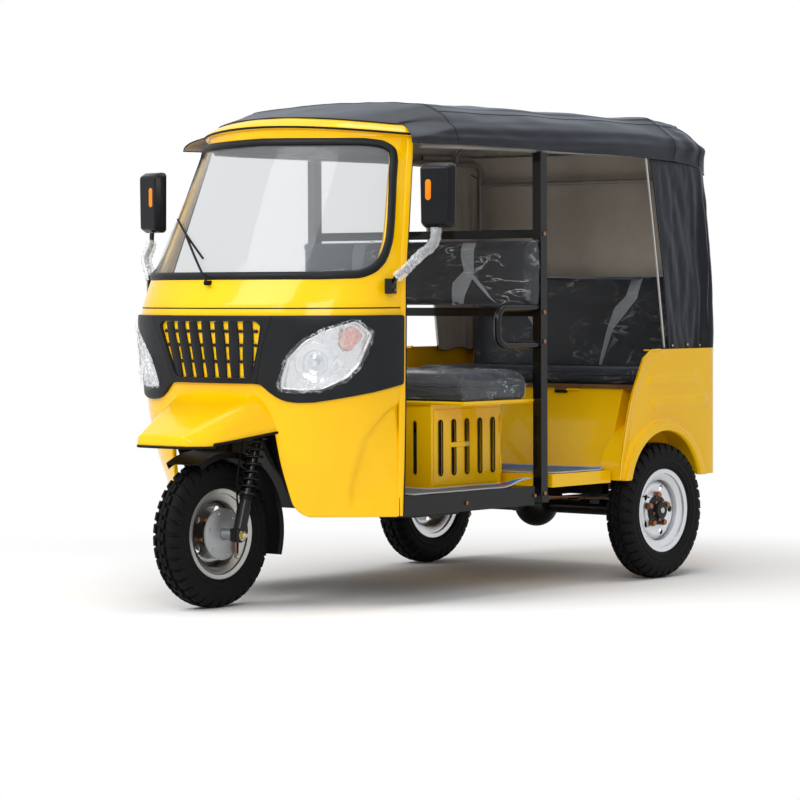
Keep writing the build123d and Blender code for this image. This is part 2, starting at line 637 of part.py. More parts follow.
def rear_body():
    """Bench, wheel arches, side and rear panels, tail lamps."""
    bench = prism_y(((-690, CABIN_FLOOR_TOP), (-800, BENCH_TOP), (-1235, BENCH_TOP), (-1235, RAIL_TOP),
                     (-690, RAIL_TOP)), -BENCH_HALF, BENCH_HALF)
    bench -= prism_y(((-694, CABIN_FLOOR_TOP - 1), (-804, BENCH_TOP - 4), (-1231, BENCH_TOP - 4),
                      (-1231, RAIL_TOP - 5), (-694, RAIL_TOP - 5)), -BENCH_HALF + 4, BENCH_HALF - 4)
    bench -= block(-1110, -850, -440, 440, BENCH_TOP - 20, BENCH_TOP + 20)
    for sign in (1, -1):
        y0, y1 = sorted((sign * (HINGE_Y + KNUCKLE / 2 + SEAT_GAP), sign * (HINGE_Y + 1.5 * KNUCKLE)))
        bench += across(HINGE_X, HINGE_Z, y0, y1, HINGE_R)
        bench += block(HINGE_X - 10, HINGE_X, y0, y1, HINGE_Z - 4, HINGE_Z + 4)
    write("bench_base", bench)

    def plan(off):
        y = TUB_HALF - off
        x = TUB_REAR + off
        r = TUB_CORNER - off
        edges = []
        corners = ((x + r, y - r, 1), (x + r, -y + r, -1))
        k = r * math.sqrt(0.5)
        edges.append(Edge.make_line((-560, y, 0), (x + r, y, 0)))
        edges.append(Edge.make_three_point_arc((x + r, y, 0), (x + r - k, y - r + k, 0), (x, y - r, 0)))
        edges.append(Edge.make_line((x, y - r, 0), (x, -y + r, 0)))
        edges.append(Edge.make_three_point_arc((x, -y + r, 0), (x + r - k, -y + r - k, 0), (x + r, -y, 0)))
        edges.append(Edge.make_line((x + r, -y, 0), (-560, -y, 0)))
        edges.append(Edge.make_line((-560, -y, 0), (-560, y, 0)))
        return Face(Wire(edges))

    def tub_solid(off, low, high):
        return Pos(0, 0, low) * Solid.extrude(plan(off), Vector(0, 0, high - low))

    wall = tub_solid(0, TUB_BOTTOM, TUB_TOP) - tub_solid(SHEET, TUB_BOTTOM - 10, TUB_TOP + 10)
    rim_top = tub_solid(0, TUB_TOP - 5, TUB_TOP) - tub_solid(32, TUB_TOP - 20, TUB_TOP + 10)
    wall = wall + rim_top
    profile = ((-620, TUB_BOTTOM - 30), (-612, 472), (-640, 588), (-677, 711), (-701, 766), (-744, 844),
               (-770, 892), (-818, 920), (-850, TUB_TOP + 30), (-400, TUB_TOP + 30), (-400, TUB_BOTTOM - 30))
    wall -= prism_y(profile, -700, 700)
    arch = rod((ARCH_X, -700, ARCH_Z), (ARCH_X, 700, ARCH_Z), ARCH_OPEN_R)
    arch += block(ARCH_X - ARCH_OPEN_R, ARCH_X + ARCH_OPEN_R, -700, 700, 300, ARCH_Z)
    wall -= arch
    flares = []
    for sign in (1, -1):
        y0, y1 = sorted((sign * (TUB_HALF - SHEET), sign * (TUB_HALF + ARCH_FLARE)))
        ring = rod((ARCH_X, y0, ARCH_Z), (ARCH_X, y1, ARCH_Z), ARCH_R)
        ring += block(ARCH_X - ARCH_R, ARCH_X + ARCH_R, y0, y1, TUB_BOTTOM, ARCH_Z + 60) \
            & rod((ARCH_X, y0, ARCH_Z), (ARCH_X, y1, ARCH_Z), ARCH_R)
        ring -= arch
        ring &= block(-1300, -500, -700, 700, TUB_BOTTOM, 700)
        y2, y3 = sorted((sign * (BENCH_HALF + SEAT_GAP), sign * (TUB_HALF - 1)))
        liner = rod((ARCH_X, y2, ARCH_Z), (ARCH_X, y3, ARCH_Z), ARCH_R)
        liner -= rod((ARCH_X, y2, ARCH_Z), (ARCH_X, y3, ARCH_Z), ARCH_R - 4)
        liner &= block(-1300, -500, -700, 700, TUB_BOTTOM, 700)
        flares += [ring, liner]
    for item in flares:
        wall = wall + item
    for x0, x1, z0, z1 in RIBS:
        for sign in (1, -1):
            y0, y1 = sorted((sign * (TUB_HALF - 1), sign * (TUB_HALF + RIB_RISE)))
            wall = wall + fillet(block(x0, x1, y0, y1, z0, z1).edges().filter_by(Axis.Y), 18)
    middle = block(TUB_REAR - 10, TUB_REAR + 60, -548, 548, 300, 1000)
    sides = wall - block(TUB_REAR - 10, TUB_REAR + 70, -548 - SEAT_GAP, 548 + SEAT_GAP, 300, 1000)
    write("side_panels", [s for s in sides.solids() if s.volume > 1e4])
    rear = wall & middle
    rear += block(TUB_REAR + 4, -1236, -500, 500, TUB_BOTTOM, TUB_BOTTOM + 5)
    write("rear_panel", rear)
    lamps = []
    for sign in (1, -1):
        lamp = block(TUB_REAR - 8, TUB_REAR - SEAT_GAP, sign * 505 - 40, sign * 505 + 40, 430, 495)
        lamp = fillet(lamp.edges().filter_by(Axis.X), 10)
        lamps.append(lamp)
    write("tail_lamps", lamps)

    board = block(-1140, -790, -588, 588, BENCH_TOP + SEAT_GAP, BENCH_TOP + 16)
    board = fillet(board.edges().filter_by(Axis.Z), 30)
    for sign in (1, -1):
        y0, y1 = sorted((sign * (HINGE_Y - KNUCKLE / 2), sign * (HINGE_Y + KNUCKLE / 2)))
        board += across(HINGE_X, HINGE_Z, y0, y1, HINGE_R)
        board += block(HINGE_X - 6, HINGE_X + 4, y0, y1, HINGE_Z, BENCH_TOP + 2)
    write("bench_board", board)
    cushion = block(-1140, -785, -590, 590, BENCH_TOP + 16, BENCH_CUSHION_TOP)
    cushion = fillet(cushion.edges().filter_by(Axis.Z), 45)
    cushion = fillet(cushion.faces().sort_by(Axis.Z)[-1].edges(), 30)
    write("bench_cushion", cushion)
    back = prism_y(((-1148, BENCH_TOP + SEAT_GAP), (-1205, 1237), (BACK_BAR_X + 9 + SEAT_GAP, 1237),
                    (BACK_BAR_X + 9 + SEAT_GAP, 1140), (-1215, BENCH_TOP + SEAT_GAP)), -560, 560)
    back = fillet(back.edges().filter_by(Axis.Y), 10)
    write("bench_backrest", back)


def front_cap(off):
    """Sloping front of the hood, from the visor up to the ridge."""
    def ring(z, rear, half, shoulder, nose):
        a = Vector(rear, half, z)
        b = Vector(shoulder, SHOULDER_Y, z)
        c = Vector(nose, 0, z)
        return Wire([
            Edge.make_line(a, b), Edge.make_three_point_arc(b, c, (b.X, -b.Y, z)),
            Edge.make_line((b.X, -b.Y, z), (a.X, -a.Y, z)),
            Edge.make_line((a.X, -a.Y, z), (HOOD_RIDGE_X - 60, -a.Y, z)),
            Edge.make_line((HOOD_RIDGE_X - 60, -a.Y, z), (HOOD_RIDGE_X - 60, a.Y, z)),
            Edge.make_line((HOOD_RIDGE_X - 60, a.Y, z), a),
        ])

    low = ring(VISOR_TOP - (20 if off else 0), 500 - off, 490 - off, 676 - off, 738 - off)
    high = ring(1884 - off, HOOD_RIDGE_X - off, 436 - off, HOOD_RIDGE_X + 30 - off, HOOD_RIDGE_X + 60 - off)
    return Solid.make_loft([low, high], ruled=True)


def hood():
    """Soft hood over its tube frame, with the rear quarters and back."""
    def solid(off):
        table = (
            (470 + 3 * off, 1794, 14, 1762, 1702, 560),
            (HOOD_RIDGE_X, 1862, 24, 1785, 1700, 588),
            (-160, 1864, 34, 1787, 1698, 606),
            (-1010, 1856, 24, 1772, 1690, 606),
            (-1190 + off, 1826, 14, 1768, 1686, 596),
            (-1268 + off, 1742, 8, 1726, 1684, 586),
        )
        rings = []
        for x, top, crown, shoulder, eave, half in table:
            low = eave - (60 if off else 0)
            pts = [(half - off, low), (half - off, eave + 8), (half - 8 - off, shoulder - 0.4 * off),
                   (min(440, half - 60) - 0.6 * off, top - off), (220, top + 0.75 * crown - off)]
            pts += [(-y, z) for y, z in reversed(pts)]
            rings.append(Wire.make_polygon([Vector(x, y, z) for y, z in pts]))
        return Solid.make_loft(rings, ruled=True)

    roof = solid(0) + front_cap(0)
    roof -= solid(6)
    roof -= front_cap(6)
    roof -= block(460, 900, -700, 700, 1600, VISOR_TOP)
    back = prism_y(((-897, 1700), (-940, 1460), (-972, 1236), (-930, 1050), (-905, 926), (-1318, 926),
                    (-1330, 1183), (-1284, 1694), (-1276, 1700)), -606, 606)
    inner = prism_y(((-700, 1710), (-700, 900), (-1312, 900), (-1324, 1183), (-1278, 1692), (-1268, 1710)),
                    -600, 600)
    back -= inner
    roof = roof + back
    write("hood", max(roof.solids(), key=lambda s: s.volume))

    tubes = None
    eave = POST_TOP + SEAT_GAP + 11
    for x, y, top in ((330, 560, 1838), (POST_X, 572, 1842), (-650, 572, 1842), (-1080, 568, 1822)):
        path = ((x, y, eave), (x, y - 8, 1752), (x, 415, top), (x, -415, top), (x, 8 - y, 1752), (x, -y, eave))
        hoop = bent_tube(path, 9, 40)
        tubes = hoop if tubes is None else tubes + hoop
    for sign in (1, -1):
        side = ((480, sign * 520, eave), (330, sign * 560, eave), (POST_X, sign * 572, eave),
                (BACK_BAR_X, sign * 568, eave), (BACK_BAR_X, sign * 566, TUB_TOP - 5))
        tubes += bent_tube(side, 11, 45)
    tubes += across(BACK_BAR_X, 1620, -566, 566, 9)
    tubes += across(BACK_BAR_X, 1183, -566, 566, 9)
    write("hood_frame", max(tubes.solids(), key=lambda s: s.volume))


def running_gear():
    """Rear axle, leaf springs and exhaust."""
    axle = across(REAR_X, TYRE_R, -REAR_Y + 50, REAR_Y - 50, 32)
    axle += across(REAR_X, TYRE_R, -REAR_Y - 30, REAR_Y + 30, 18)
    axle += Pos(REAR_X, 0, TYRE_R) * Sphere(92)
    axle += rod((REAR_X, 0, TYRE_R), (REAR_X + 150, 0, TYRE_R + 10), 30)
    for sign in (1, -1):
        y0, y1 = sorted((sign * (REAR_Y - 56), sign * (REAR_Y - 50)))
        axle += across(REAR_X, TYRE_R, y0, y1, 88)
        axle += block(REAR_X - 40, REAR_X + 40, sign * RAIL_Y - 24, sign * RAIL_Y + 24, 290, 308)
    write("rear_axle", axle)
    springs = []
    for sign in (1, -1):
        leaf = None
        for index, half in enumerate((330, 250, 170)):
            drop = 8.0 * index
            pts = ((REAR_X - half, 327 - drop), (REAR_X, 316 - drop + 8), (REAR_X + half, 327 - drop),
                   (REAR_X + half, 335 - drop), (REAR_X, 324 - drop + 8), (REAR_X - half, 335 - drop))
            y0 = sign * RAIL_Y - 22
            plate = prism_y(pts, y0, y0 + 44)
            leaf = plate if leaf is None else leaf + plate
        springs.append(leaf)
    write("leaf_springs", springs)
    muffler = rod((-620, -430, 330), (-330, -430, 330), 52)
    muffler += rod((-330, -430, 330), (-180, -200, 322), 16)
    muffler += rod((-180, -200, 322), (-80, -200, 322), 16)
    muffler += rod((-620, -430, 330), (-760, -430, 320), 16)
    muffler += block(-500, -480, -430, -355, 345, 362)
    muffler -= block(-90, 200, -250, 250, 280, 630)
    write("exhaust", max(muffler.solids(), key=lambda s: s.volume))


def trim():
    """Mirrors, wiper and pedal."""
    arms = []
    heads = []
    for sign in (1, -1):
        foot = Vector(741, sign * 590, 1184)
        path = (foot, Vector(744, sign * 622, 1215), Vector(690, sign * 700, 1300), Vector(638, sign * 720, 1350),
                Vector(636, sign * 722, 1391))
        arm = bent_tube(path, 9, 14)
        arm += Pos(746, sign * 592, 1184) * Rot(0, 0, sign * 35) * Box(70, 24, 54)
        arms.append(arm)
        head = block(-22, 22, -75, 75, -122, 122)
        head = fillet(head.edges().filter_by(Axis.X), 34)
        head = fillet(head.faces().sort_by(Axis.X)[-1].edges(), 16)
        heads.append(Pos(632, sign * 723, 1514) * Rot(0, 0, sign * 12) * head)
    skin = cab_solid(0)
    arms = [a - skin for a in arms]
    write("mirror_arms", [max(a.solids(), key=lambda s: s.volume) for a in arms])
    write("mirror_heads", heads)
    pedal = block(600, 606, 140, 210, 500, 580)
    pedal += rod((603, 175, 500), (640, 175, 411), 7)
    pedal += block(628, 652, 160, 190, 410, 416)
    pedal -= block(560, 720, 100, 250, 300, 410)
    write("brake_pedal", pedal)


skin = cab()
write("nose_guard", nose_guard(skin))
write("visor", visor())
wheels()
steering()
chassis()
floors()
engine_bay()
partition()
rear_body()
hood()
running_gear()
trim()
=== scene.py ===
# %% [markdown]
# # An auto rickshaw, dressed in Blender
# The frame loaded here is the measured vehicle: chassis, cab, wheels and joints.
# This lesson paints it, then adds what the measured model leaves plain: rounded
# sheet metal, stuffed seats, a wrinkled hood, tyre lugs and small fittings.

# %% Load the measured vehicle
import bpy
import bmesh
import math
from mathutils import Matrix, Vector, noise


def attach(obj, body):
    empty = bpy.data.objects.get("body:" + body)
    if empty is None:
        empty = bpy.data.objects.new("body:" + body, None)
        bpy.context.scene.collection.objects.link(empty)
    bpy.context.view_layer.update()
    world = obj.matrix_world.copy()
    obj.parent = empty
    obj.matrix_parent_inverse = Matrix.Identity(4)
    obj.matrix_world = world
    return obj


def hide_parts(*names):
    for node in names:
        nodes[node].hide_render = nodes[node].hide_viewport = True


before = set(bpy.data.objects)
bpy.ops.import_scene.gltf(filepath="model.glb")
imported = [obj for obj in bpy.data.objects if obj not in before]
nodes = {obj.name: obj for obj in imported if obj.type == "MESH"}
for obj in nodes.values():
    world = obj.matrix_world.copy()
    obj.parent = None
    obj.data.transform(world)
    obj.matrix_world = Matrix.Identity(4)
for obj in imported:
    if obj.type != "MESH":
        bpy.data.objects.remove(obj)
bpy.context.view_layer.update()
scene = bpy.context.scene

# %% [markdown]
# ## Node and mesh helpers
# Every material is a small node tree, so one function adds a node, sets it and
# links its inputs. Hex colours are sRGB, as a paint chart gives them, and the
# shader wants linear values, so one function turns them.

# %% Helpers for materials
def linear(hex_colour, alpha=1.0):
    """Linear RGBA from an sRGB hex string."""
    values = [int(hex_colour[i:i + 2], 16) / 255 for i in (1, 3, 5)]
    return tuple(v / 12.92 if v <= 0.04045 else ((v + 0.055) / 1.055) ** 2.4 for v in values) + (alpha,)


def add(tree, kind, inputs=None, **settings):
    """Add a node with its settings; inputs are values or sockets to link from."""
    node = tree.nodes.new(kind)
    for name, value in settings.items():
        setattr(node, name, value)
    for name, value in (inputs or {}).items():
        if isinstance(value, bpy.types.NodeSocket):
            tree.links.new(value, node.inputs[name])
        else:
            node.inputs[name].default_value = value
    return node


def finish(name, colour, **shader):
    """A new material: its tree, its shader and the object coordinates."""
    mat = bpy.data.materials.new(name)
    mat.use_nodes = True
    tree = mat.node_tree
    tree.nodes.clear()
    principled = add(tree, "ShaderNodeBsdfPrincipled", {"Base Color": linear(colour), **shader})
    add(tree, "ShaderNodeOutputMaterial", {"Surface": principled.outputs[0]})
    coords = add(tree, "ShaderNodeTexCoord").outputs["Object"]
    return mat, tree, principled, coords


def mottled(tree, principled, coords, light, dark, size_mm, detail=4.0):
    """Colour that wanders between two tones over patches of a real size."""
    cloud = add(tree, "ShaderNodeTexNoise", {"Vector": coords, "Scale": 1000 / size_mm, "Detail": detail})
    ramp = add(tree, "ShaderNodeValToRGB", {"Fac": cloud.outputs["Fac"]})
    ramp.color_ramp.elements[0].position = 0.35
    ramp.color_ramp.elements[1].position = 0.65
    ramp.color_ramp.elements[0].color = linear(dark)
    ramp.color_ramp.elements[1].color = linear(light)
    tree.links.new(ramp.outputs["Color"], principled.inputs["Base Color"])
    return ramp


def grained(tree, principled, height, distance, strength=0.5):
    """Bump from a height socket; distance is the relief in metres."""
    bump = add(tree, "ShaderNodeBump", {"Height": height, "Strength": strength, "Distance": distance})
    tree.links.new(bump.outputs["Normal"], principled.inputs["Normal"])
    return bump


# %% [markdown]
# ## Paints and metals
# The body is sprayed steel in a warm yellow gloss enamel. Sprayed paint is never
# quite flat: a faint ripple, called orange peel, breaks up its reflections, so the
# bump is a 3 mm noise only a few hundredths of a millimetre deep.

# %% Enamels
def gloss_enamel(name, colour, shade, roughness=0.22):
    mat, tree, shader, coords = finish(name, colour, Roughness=roughness)
    shader.inputs["Coat Weight"].default_value = 0.35
    shader.inputs["Specular IOR Level"].default_value = 0.12
    shader.inputs["Coat Roughness"].default_value = 0.06
    mottled(tree, shader, coords, colour, shade, 420)
    peel = add(tree, "ShaderNodeTexNoise", {"Vector": coords, "Scale": 330.0, "Detail": 1.0})
    grained(tree, shader, peel.outputs["Fac"], 0.00005, 0.35)
    return mat


yellow_enamel = gloss_enamel("yellow enamel", "#F9C602", "#F4BC01")
black_enamel = gloss_enamel("black enamel", "#0B0C0E", "#08090A", 0.25)
chassis_enamel = gloss_enamel("chassis black", "#08090A", "#050606", 0.5)
frame_enamel = gloss_enamel("hood tube grey", "#8F8C88", "#75716C", 0.35)

# %% Metals
def bare_metal(name, colour, roughness, grain_mm=0.8, relief=0.00003):
    mat, tree, shader, coords = finish(name, colour, Metallic=1.0, Roughness=roughness)
    streak = add(tree, "ShaderNodeTexNoise", {"Vector": coords, "Scale": 1000 / grain_mm, "Detail": 2.0})
    grained(tree, shader, streak.outputs["Fac"], relief, 0.4)
    cloud = add(tree, "ShaderNodeTexNoise", {"Vector": coords, "Scale": 18.0, "Detail": 5.0})
    spread = add(tree, "ShaderNodeMapRange", {"Value": cloud.outputs["Fac"], "To Min": roughness * 0.8,
                                              "To Max": roughness * 1.35})
    tree.links.new(spread.outputs["Result"], shader.inputs["Roughness"])
    return mat


rim_silver = bare_metal("rim silver lacquer", "#D2D4D7", 0.34)
bright_zinc = bare_metal("bright zinc", "#B4B3AF", 0.28)
copper_zinc = bare_metal("copper toned zinc", "#936A4C", 0.35)
brake_alloy = bare_metal("cast alloy", "#A9ABAD", 0.5, 1.6, 0.0001)
reflector_chrome = bare_metal("reflector chrome", "#E6E8EA", 0.08, 3.0, 0.00001)
drum_iron = bare_metal("black iron", "#35363A", 0.5, 1.4, 0.0001)

# %% [markdown]
# ## Plastics, rubber and glass
# Moulded plastic carries a fine leather grain from its tool, so it shines softly.
# Tyre rubber is nearly matt, and glass is left clear because
# the windows here are seen right through.

# %% Plastics and rubbers
def moulded(name, colour, shade, roughness, grain_mm=0.9, relief=0.00008):
    mat, tree, shader, coords = finish(name, colour, Roughness=roughness)
    shader.inputs["Specular IOR Level"].default_value = 0.15
    mottled(tree, shader, coords, colour, shade, 160)
    grain = add(tree, "ShaderNodeTexVoronoi", {"Vector": coords, "Scale": 1000 / grain_mm})
    grained(tree, shader, grain.outputs["Distance"], relief, 0.35)
    return mat


charcoal_abs = moulded("charcoal ABS", "#1F2124", "#1A1B1E", 0.46)
mirror_abs = moulded("mirror ABS", "#17181B", "#121316", 0.28)
mudguard_pp = moulded("mudguard polypropylene", "#0D0E10", "#0A0B0C", 0.5)
amber_plastic = moulded("amber reflector", "#F08A14", "#E07A0C", 0.2)
seal_rubber = moulded("screen seal rubber", "#1B1D20", "#15171A", 0.45)
tyre_rubber = moulded("tyre rubber", "#0A0B0C", "#070808", 0.7, 1.5, 0.0001)
trim_rubber = moulded("black trim rubber", "#0A0B0C", "#070808", 0.5)
seat_board = moulded("seat board", "#7A5C3A", "#5E4529", 0.8, 6.0, 0.0002)
engine_iron = moulded("engine casting", "#4B4C4E", "#38393B", 0.6, 3.0, 0.0003)
tail_red = moulded("tail lamp red", "#B31313", "#8E0C0C", 0.15)
mat_rubber = moulded("ribbed mat rubber", "#7C7F83", "#66696D", 0.75)


def clear(name, colour, alpha, roughness=0.05):
    mat, tree, shader, coords = finish(name, colour, Roughness=roughness, Alpha=alpha)
    mat.surface_render_method = "BLENDED"
    return mat


window_glass = clear("window glass", "#8C9296", 0.24)
lamp_lens = clear("lamp lens", "#F2F6F8", 0.2)

# %% [markdown]
# ## Coat the measured nodes
# A measured node keeps its mesh and only gets its real finish. Soft nodes and the
# ones that need rounded metal are replaced further down.

# %% Give each node its finish
NODE_FINISH = {
    "chassis": chassis_enamel, "cab_shell": yellow_enamel, "visor": yellow_enamel, "fascia": charcoal_abs,
    "headlamp_bowls": reflector_chrome, "headlamp_lenses": lamp_lens, "nose_guard": yellow_enamel,
    "windscreen_seal": seal_rubber, "windscreen_glass": window_glass, "mirror_arms": black_enamel,
    "mirror_heads": mirror_abs, "driver_floor": chassis_enamel, "driver_mat": mat_rubber,
    "engine_box": yellow_enamel, "engine": engine_iron, "driver_cushion": charcoal_abs,
    "driver_backrest": charcoal_abs, "mid_posts": black_enamel, "grab_handles": black_enamel,
    "cabin_floor": yellow_enamel, "cabin_mat": mat_rubber, "bench_base": yellow_enamel,
    "bench_backrest": charcoal_abs, "side_panels": yellow_enamel, "rear_panel": yellow_enamel,
    "tail_lamps": tail_red, "hood_frame": frame_enamel, "hood": charcoal_abs, "rear_axle": chassis_enamel,
    "leaf_springs": chassis_enamel, "exhaust": drum_iron, "brake_pedal": black_enamel,
    "engine_door": yellow_enamel, "bench_board": seat_board, "bench_cushion": charcoal_abs,
    "fork": black_enamel, "fork_springs": black_enamel, "front_mudguard": mudguard_pp,
    "handlebar": black_enamel, "front_brake_plate": brake_alloy,
    "front_tyre": tyre_rubber, "front_rim": bright_zinc, "front_hub": drum_iron,
    "rear_tyre_left": tyre_rubber, "rear_rim_left": rim_silver, "rear_hub_left": drum_iron,
    "rear_tyre_right": tyre_rubber, "rear_rim_right": rim_silver, "rear_hub_right": drum_iron,
}
for node_name, material in NODE_FINISH.items():
    mesh = nodes[node_name].data
    mesh.materials.clear()
    mesh.materials.append(material)
print("painted", len(NODE_FINISH), "nodes")

# %% [markdown]
# ## Mesh helpers
# The shapes below are written in millimetres, like the drawings, and scaled once
# when they become meshes. Each piece rides on the body that carries it and takes
# its material.

# %% Pieces, and baking modifiers into them
SIDES = (("left", 1), ("right", -1))
MM = 0.001


def settle(obj, body, material):
    """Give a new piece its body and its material."""
    if not obj.data.materials:
        obj.data.materials.append(material)
    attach(obj, body)
    return obj


def piece(name, verts, faces, material, body="body", smooth=True, angle=40):
    """A mesh piece from points in millimetres."""
    mesh = bpy.data.meshes.new(name)
    mesh.from_pydata([Vector(v) * MM for v in verts], [], faces)
    bm = bmesh.new()
    bm.from_mesh(mesh)
    bmesh.ops.remove_doubles(bm, verts=bm.verts, dist=0.00002)
    bmesh.ops.recalc_face_normals(bm, faces=bm.faces)
    bm.to_mesh(mesh)
    bm.free()
    if smooth:
        mesh.polygons.foreach_set("use_smooth", [True] * len(mesh.polygons))
        mesh.set_sharp_from_angle(angle=math.radians(angle))
    obj = bpy.data.objects.new(name, mesh)
    scene.collection.objects.link(obj)
    return settle(obj, body, material)


def bake(obj):
    """Apply every modifier of a piece to its mesh."""
    deps = bpy.context.evaluated_depsgraph_get()
    mesh = bpy.data.meshes.new_from_object(obj.evaluated_get(deps))
    old = obj.data
    obj.modifiers.clear()
    obj.data = mesh
    bpy.data.meshes.remove(old)
    return obj


def modified(obj, kind, **settings):
    """Add one modifier, set it and bake it."""
    modifier = obj.modifiers.new(kind, kind)
    for name, value in settings.items():
        setattr(modifier, name, value)
    return bake(obj)


def face_outward(obj):
    """Recalculate the normals of a closed mesh so that its faces point out."""
    bm = bmesh.new()
    bm.from_mesh(obj.data)
    bmesh.ops.recalc_face_normals(bm, faces=bm.faces)
    bm.to_mesh(obj.data)
    bm.free()


def on_circle(radius, degrees):
    """Point of a circle about the origin."""
    turn = math.radians(degrees)
    return radius * math.cos(turn), radius * math.sin(turn)


def quad_strip(rows, wide):
    """Quad faces of a grid of rows, each wide points across."""
    return [(i * wide + j, i * wide + j + 1, (i + 1) * wide + j + 1, (i + 1) * wide + j)
            for i in range(rows - 1) for j in range(wide - 1)]


def rounded_block(name, low, high, material, radius=3.0, body="body", steps=3):
    """A block between two corners with its edges rounded."""
    (x0, y0, z0), (x1, y1, z1) = low, high
    verts = [(x, y, z) for x in (x0, x1) for y in (y0, y1) for z in (z0, z1)]
    faces = [(0, 1, 3, 2), (4, 6, 7, 5), (0, 4, 5, 1), (2, 3, 7, 6), (0, 2, 6, 4), (1, 5, 7, 3)]
    obj = piece(name, verts, faces, material, body)
    return modified(obj, "BEVEL", width=radius * MM, segments=steps, harden_normals=True)


# %% Rounded outlines
def rounded(points, radius, closed=True, steps=5):
    """Round the corners of an outline or path, in two or three dimensions."""
    points = [Vector(p) for p in points]
    out = []
    count = len(points)
    for i, p in enumerate(points):
        if not closed and i in (0, count - 1):
            out.append(p)
            continue
        before = points[i - 1] - p
        after = points[(i + 1) % count] - p
        cut = min(radius, before.length * 0.45, after.length * 0.45)
        a = p + before.normalized() * cut
        b = p + after.normalized() * cut
        for k in range(steps + 1):
            t = k / steps
            out.append(a * (1 - t) ** 2 + p * 2 * t * (1 - t) + b * t ** 2)
    return out


def resampled(points, spacing, closed=True):
    """The same line with points about one spacing apart."""
    points = [Vector(p) for p in points]
    ends = points[1:] + points[:1] if closed else points[1:]
    out = []
    for a, b in zip(points, ends):
        parts = max(1, round((b - a).length / spacing))
        out += [a.lerp(b, k / parts) for k in range(parts)]
    if not closed:
        out.append(points[-1])
    return out


def smooth_step(t):
    t = min(max(t, 0.0), 1.0)
    return t * t * (3 - 2 * t)


def table_at(rows, x):
    """Straight-line values between the rows of a table whose first column is x."""
    if x <= rows[0][0]:
        return rows[0][1:]
    for a, b in zip(rows, rows[1:]):
        if x <= b[0]:
            t = (x - a[0]) / (b[0] - a[0])
            return [p + (q - p) * t for p, q in zip(a[1:], b[1:])]
    return rows[-1][1:]


# %% Sweeps, tubes and turned pieces
def sweep(name, path, normals, section, material, body="body", closed=False, scales=None, angle=50):
    """Carry a section of (side, out) points along a path with given normals."""
    path = [Vector(p) for p in path]
    count = len(path)
    verts = []
    for i, p in enumerate(path):
        before = path[i - 1] if closed or i else p
        after = path[(i + 1) % count] if closed or i < count - 1 else p
        tangent = (after - before).normalized()
        out = Vector(normals[i])
        out = (out - tangent * out.dot(tangent)).normalized()
        side = tangent.cross(out)
        wide, high = scales[i] if scales else (1, 1)
        verts += [p + side * a * wide + out * b * high for a, b in section]
    k = len(section)
    faces = []
    for i in range(count if closed else count - 1):
        j = (i + 1) % count
        faces += [(i * k + m, i * k + (m + 1) % k, j * k + (m + 1) % k, j * k + m) for m in range(k)]
    if not closed:
        faces += [tuple(range(k)), tuple((count - 1) * k + m for m in reversed(range(k)))]
    return piece(name, verts, faces, material, body, angle=angle)


def round_section(radius, count=10, flat=1.0):
    """Points round a circle, squeezed outwards by flat."""
    angles = [2 * math.pi * k / count for k in range(count)]
    return [(radius * math.cos(a), radius * flat * math.sin(a)) for a in angles]


def tube(name, points, radius, material, body="body", bend=30.0, resolution=10, smooth_line=False):
    """A round tube or wire along a bent path; smooth_line runs it as one soft curve."""
    curve = bpy.data.curves.new(name, "CURVE")
    curve.dimensions = "3D"
    curve.bevel_depth = radius * MM
    curve.bevel_resolution = max(2, resolution // 3)
    curve.use_fill_caps = True
    if smooth_line:
        spline = curve.splines.new("NURBS")
        run = [Vector(p) for p in points]
    else:
        spline = curve.splines.new("POLY")
        run = rounded(points, bend, closed=False, steps=8) if bend else [Vector(p) for p in points]
    spline.points.add(len(run) - 1)
    for slot, p in zip(spline.points, run):
        slot.co = (*(p * MM), 1)
    if smooth_line:
        spline.order_u = 3
        spline.use_endpoint_u = True
        spline.resolution_u = 8
    holder = bpy.data.objects.new(name + "_line", curve)
    scene.collection.objects.link(holder)
    deps = bpy.context.evaluated_depsgraph_get()
    mesh = bpy.data.meshes.new_from_object(holder.evaluated_get(deps))
    bpy.data.objects.remove(holder)
    mesh.polygons.foreach_set("use_smooth", [True] * len(mesh.polygons))
    obj = bpy.data.objects.new(name, mesh)
    scene.collection.objects.link(obj)
    mesh.materials.clear()
    return settle(obj, body, material)


def turned(name, profile, centre, material, body="body", steps=96, axis="Y", closed=True, angle=35):
    """Turn an (r, offset) outline about an axis through centre."""
    cx, cy, cz = centre
    verts = []
    for k in range(steps):
        a = 2 * math.pi * k / steps
        c, s = math.cos(a), math.sin(a)
        for r, w in profile:
            verts.append({"Y": (cx + r * c, cy + w, cz + r * s), "X": (cx + w, cy + r * c, cz + r * s),
                          "Z": (cx + r * c, cy + r * s, cz + w)}[axis])
    n = len(profile)
    faces = []
    last = n if closed else n - 1
    for k in range(steps):
        j = (k + 1) % steps
        faces += [(k * n + m, k * n + (m + 1) % n, j * n + (m + 1) % n, j * n + m) for m in range(last)]
    return piece(name, verts, faces, material, body, angle=angle)


# %% [markdown]
# ## Pressed panels
# A pressed panel is an outline drawn flat and laid on a curved surface. The
# outline, its holes and a grid of inner points are joined into triangles, and a
# few narrow loops along every edge bend it over, so cut edges look rolled.

# %% Panels laid on a surface
from mathutils.geometry import delaunay_2d_cdt


def inside(point, loop):
    """Whether a flat point lies in a closed loop."""
    x, y = point
    hit = False
    for a, b in zip(loop, loop[1:] + loop[:1]):
        if (a[1] > y) != (b[1] > y) and x < (b[0] - a[0]) * (y - a[1]) / (b[1] - a[1]) + a[0]:
            hit = not hit
    return hit


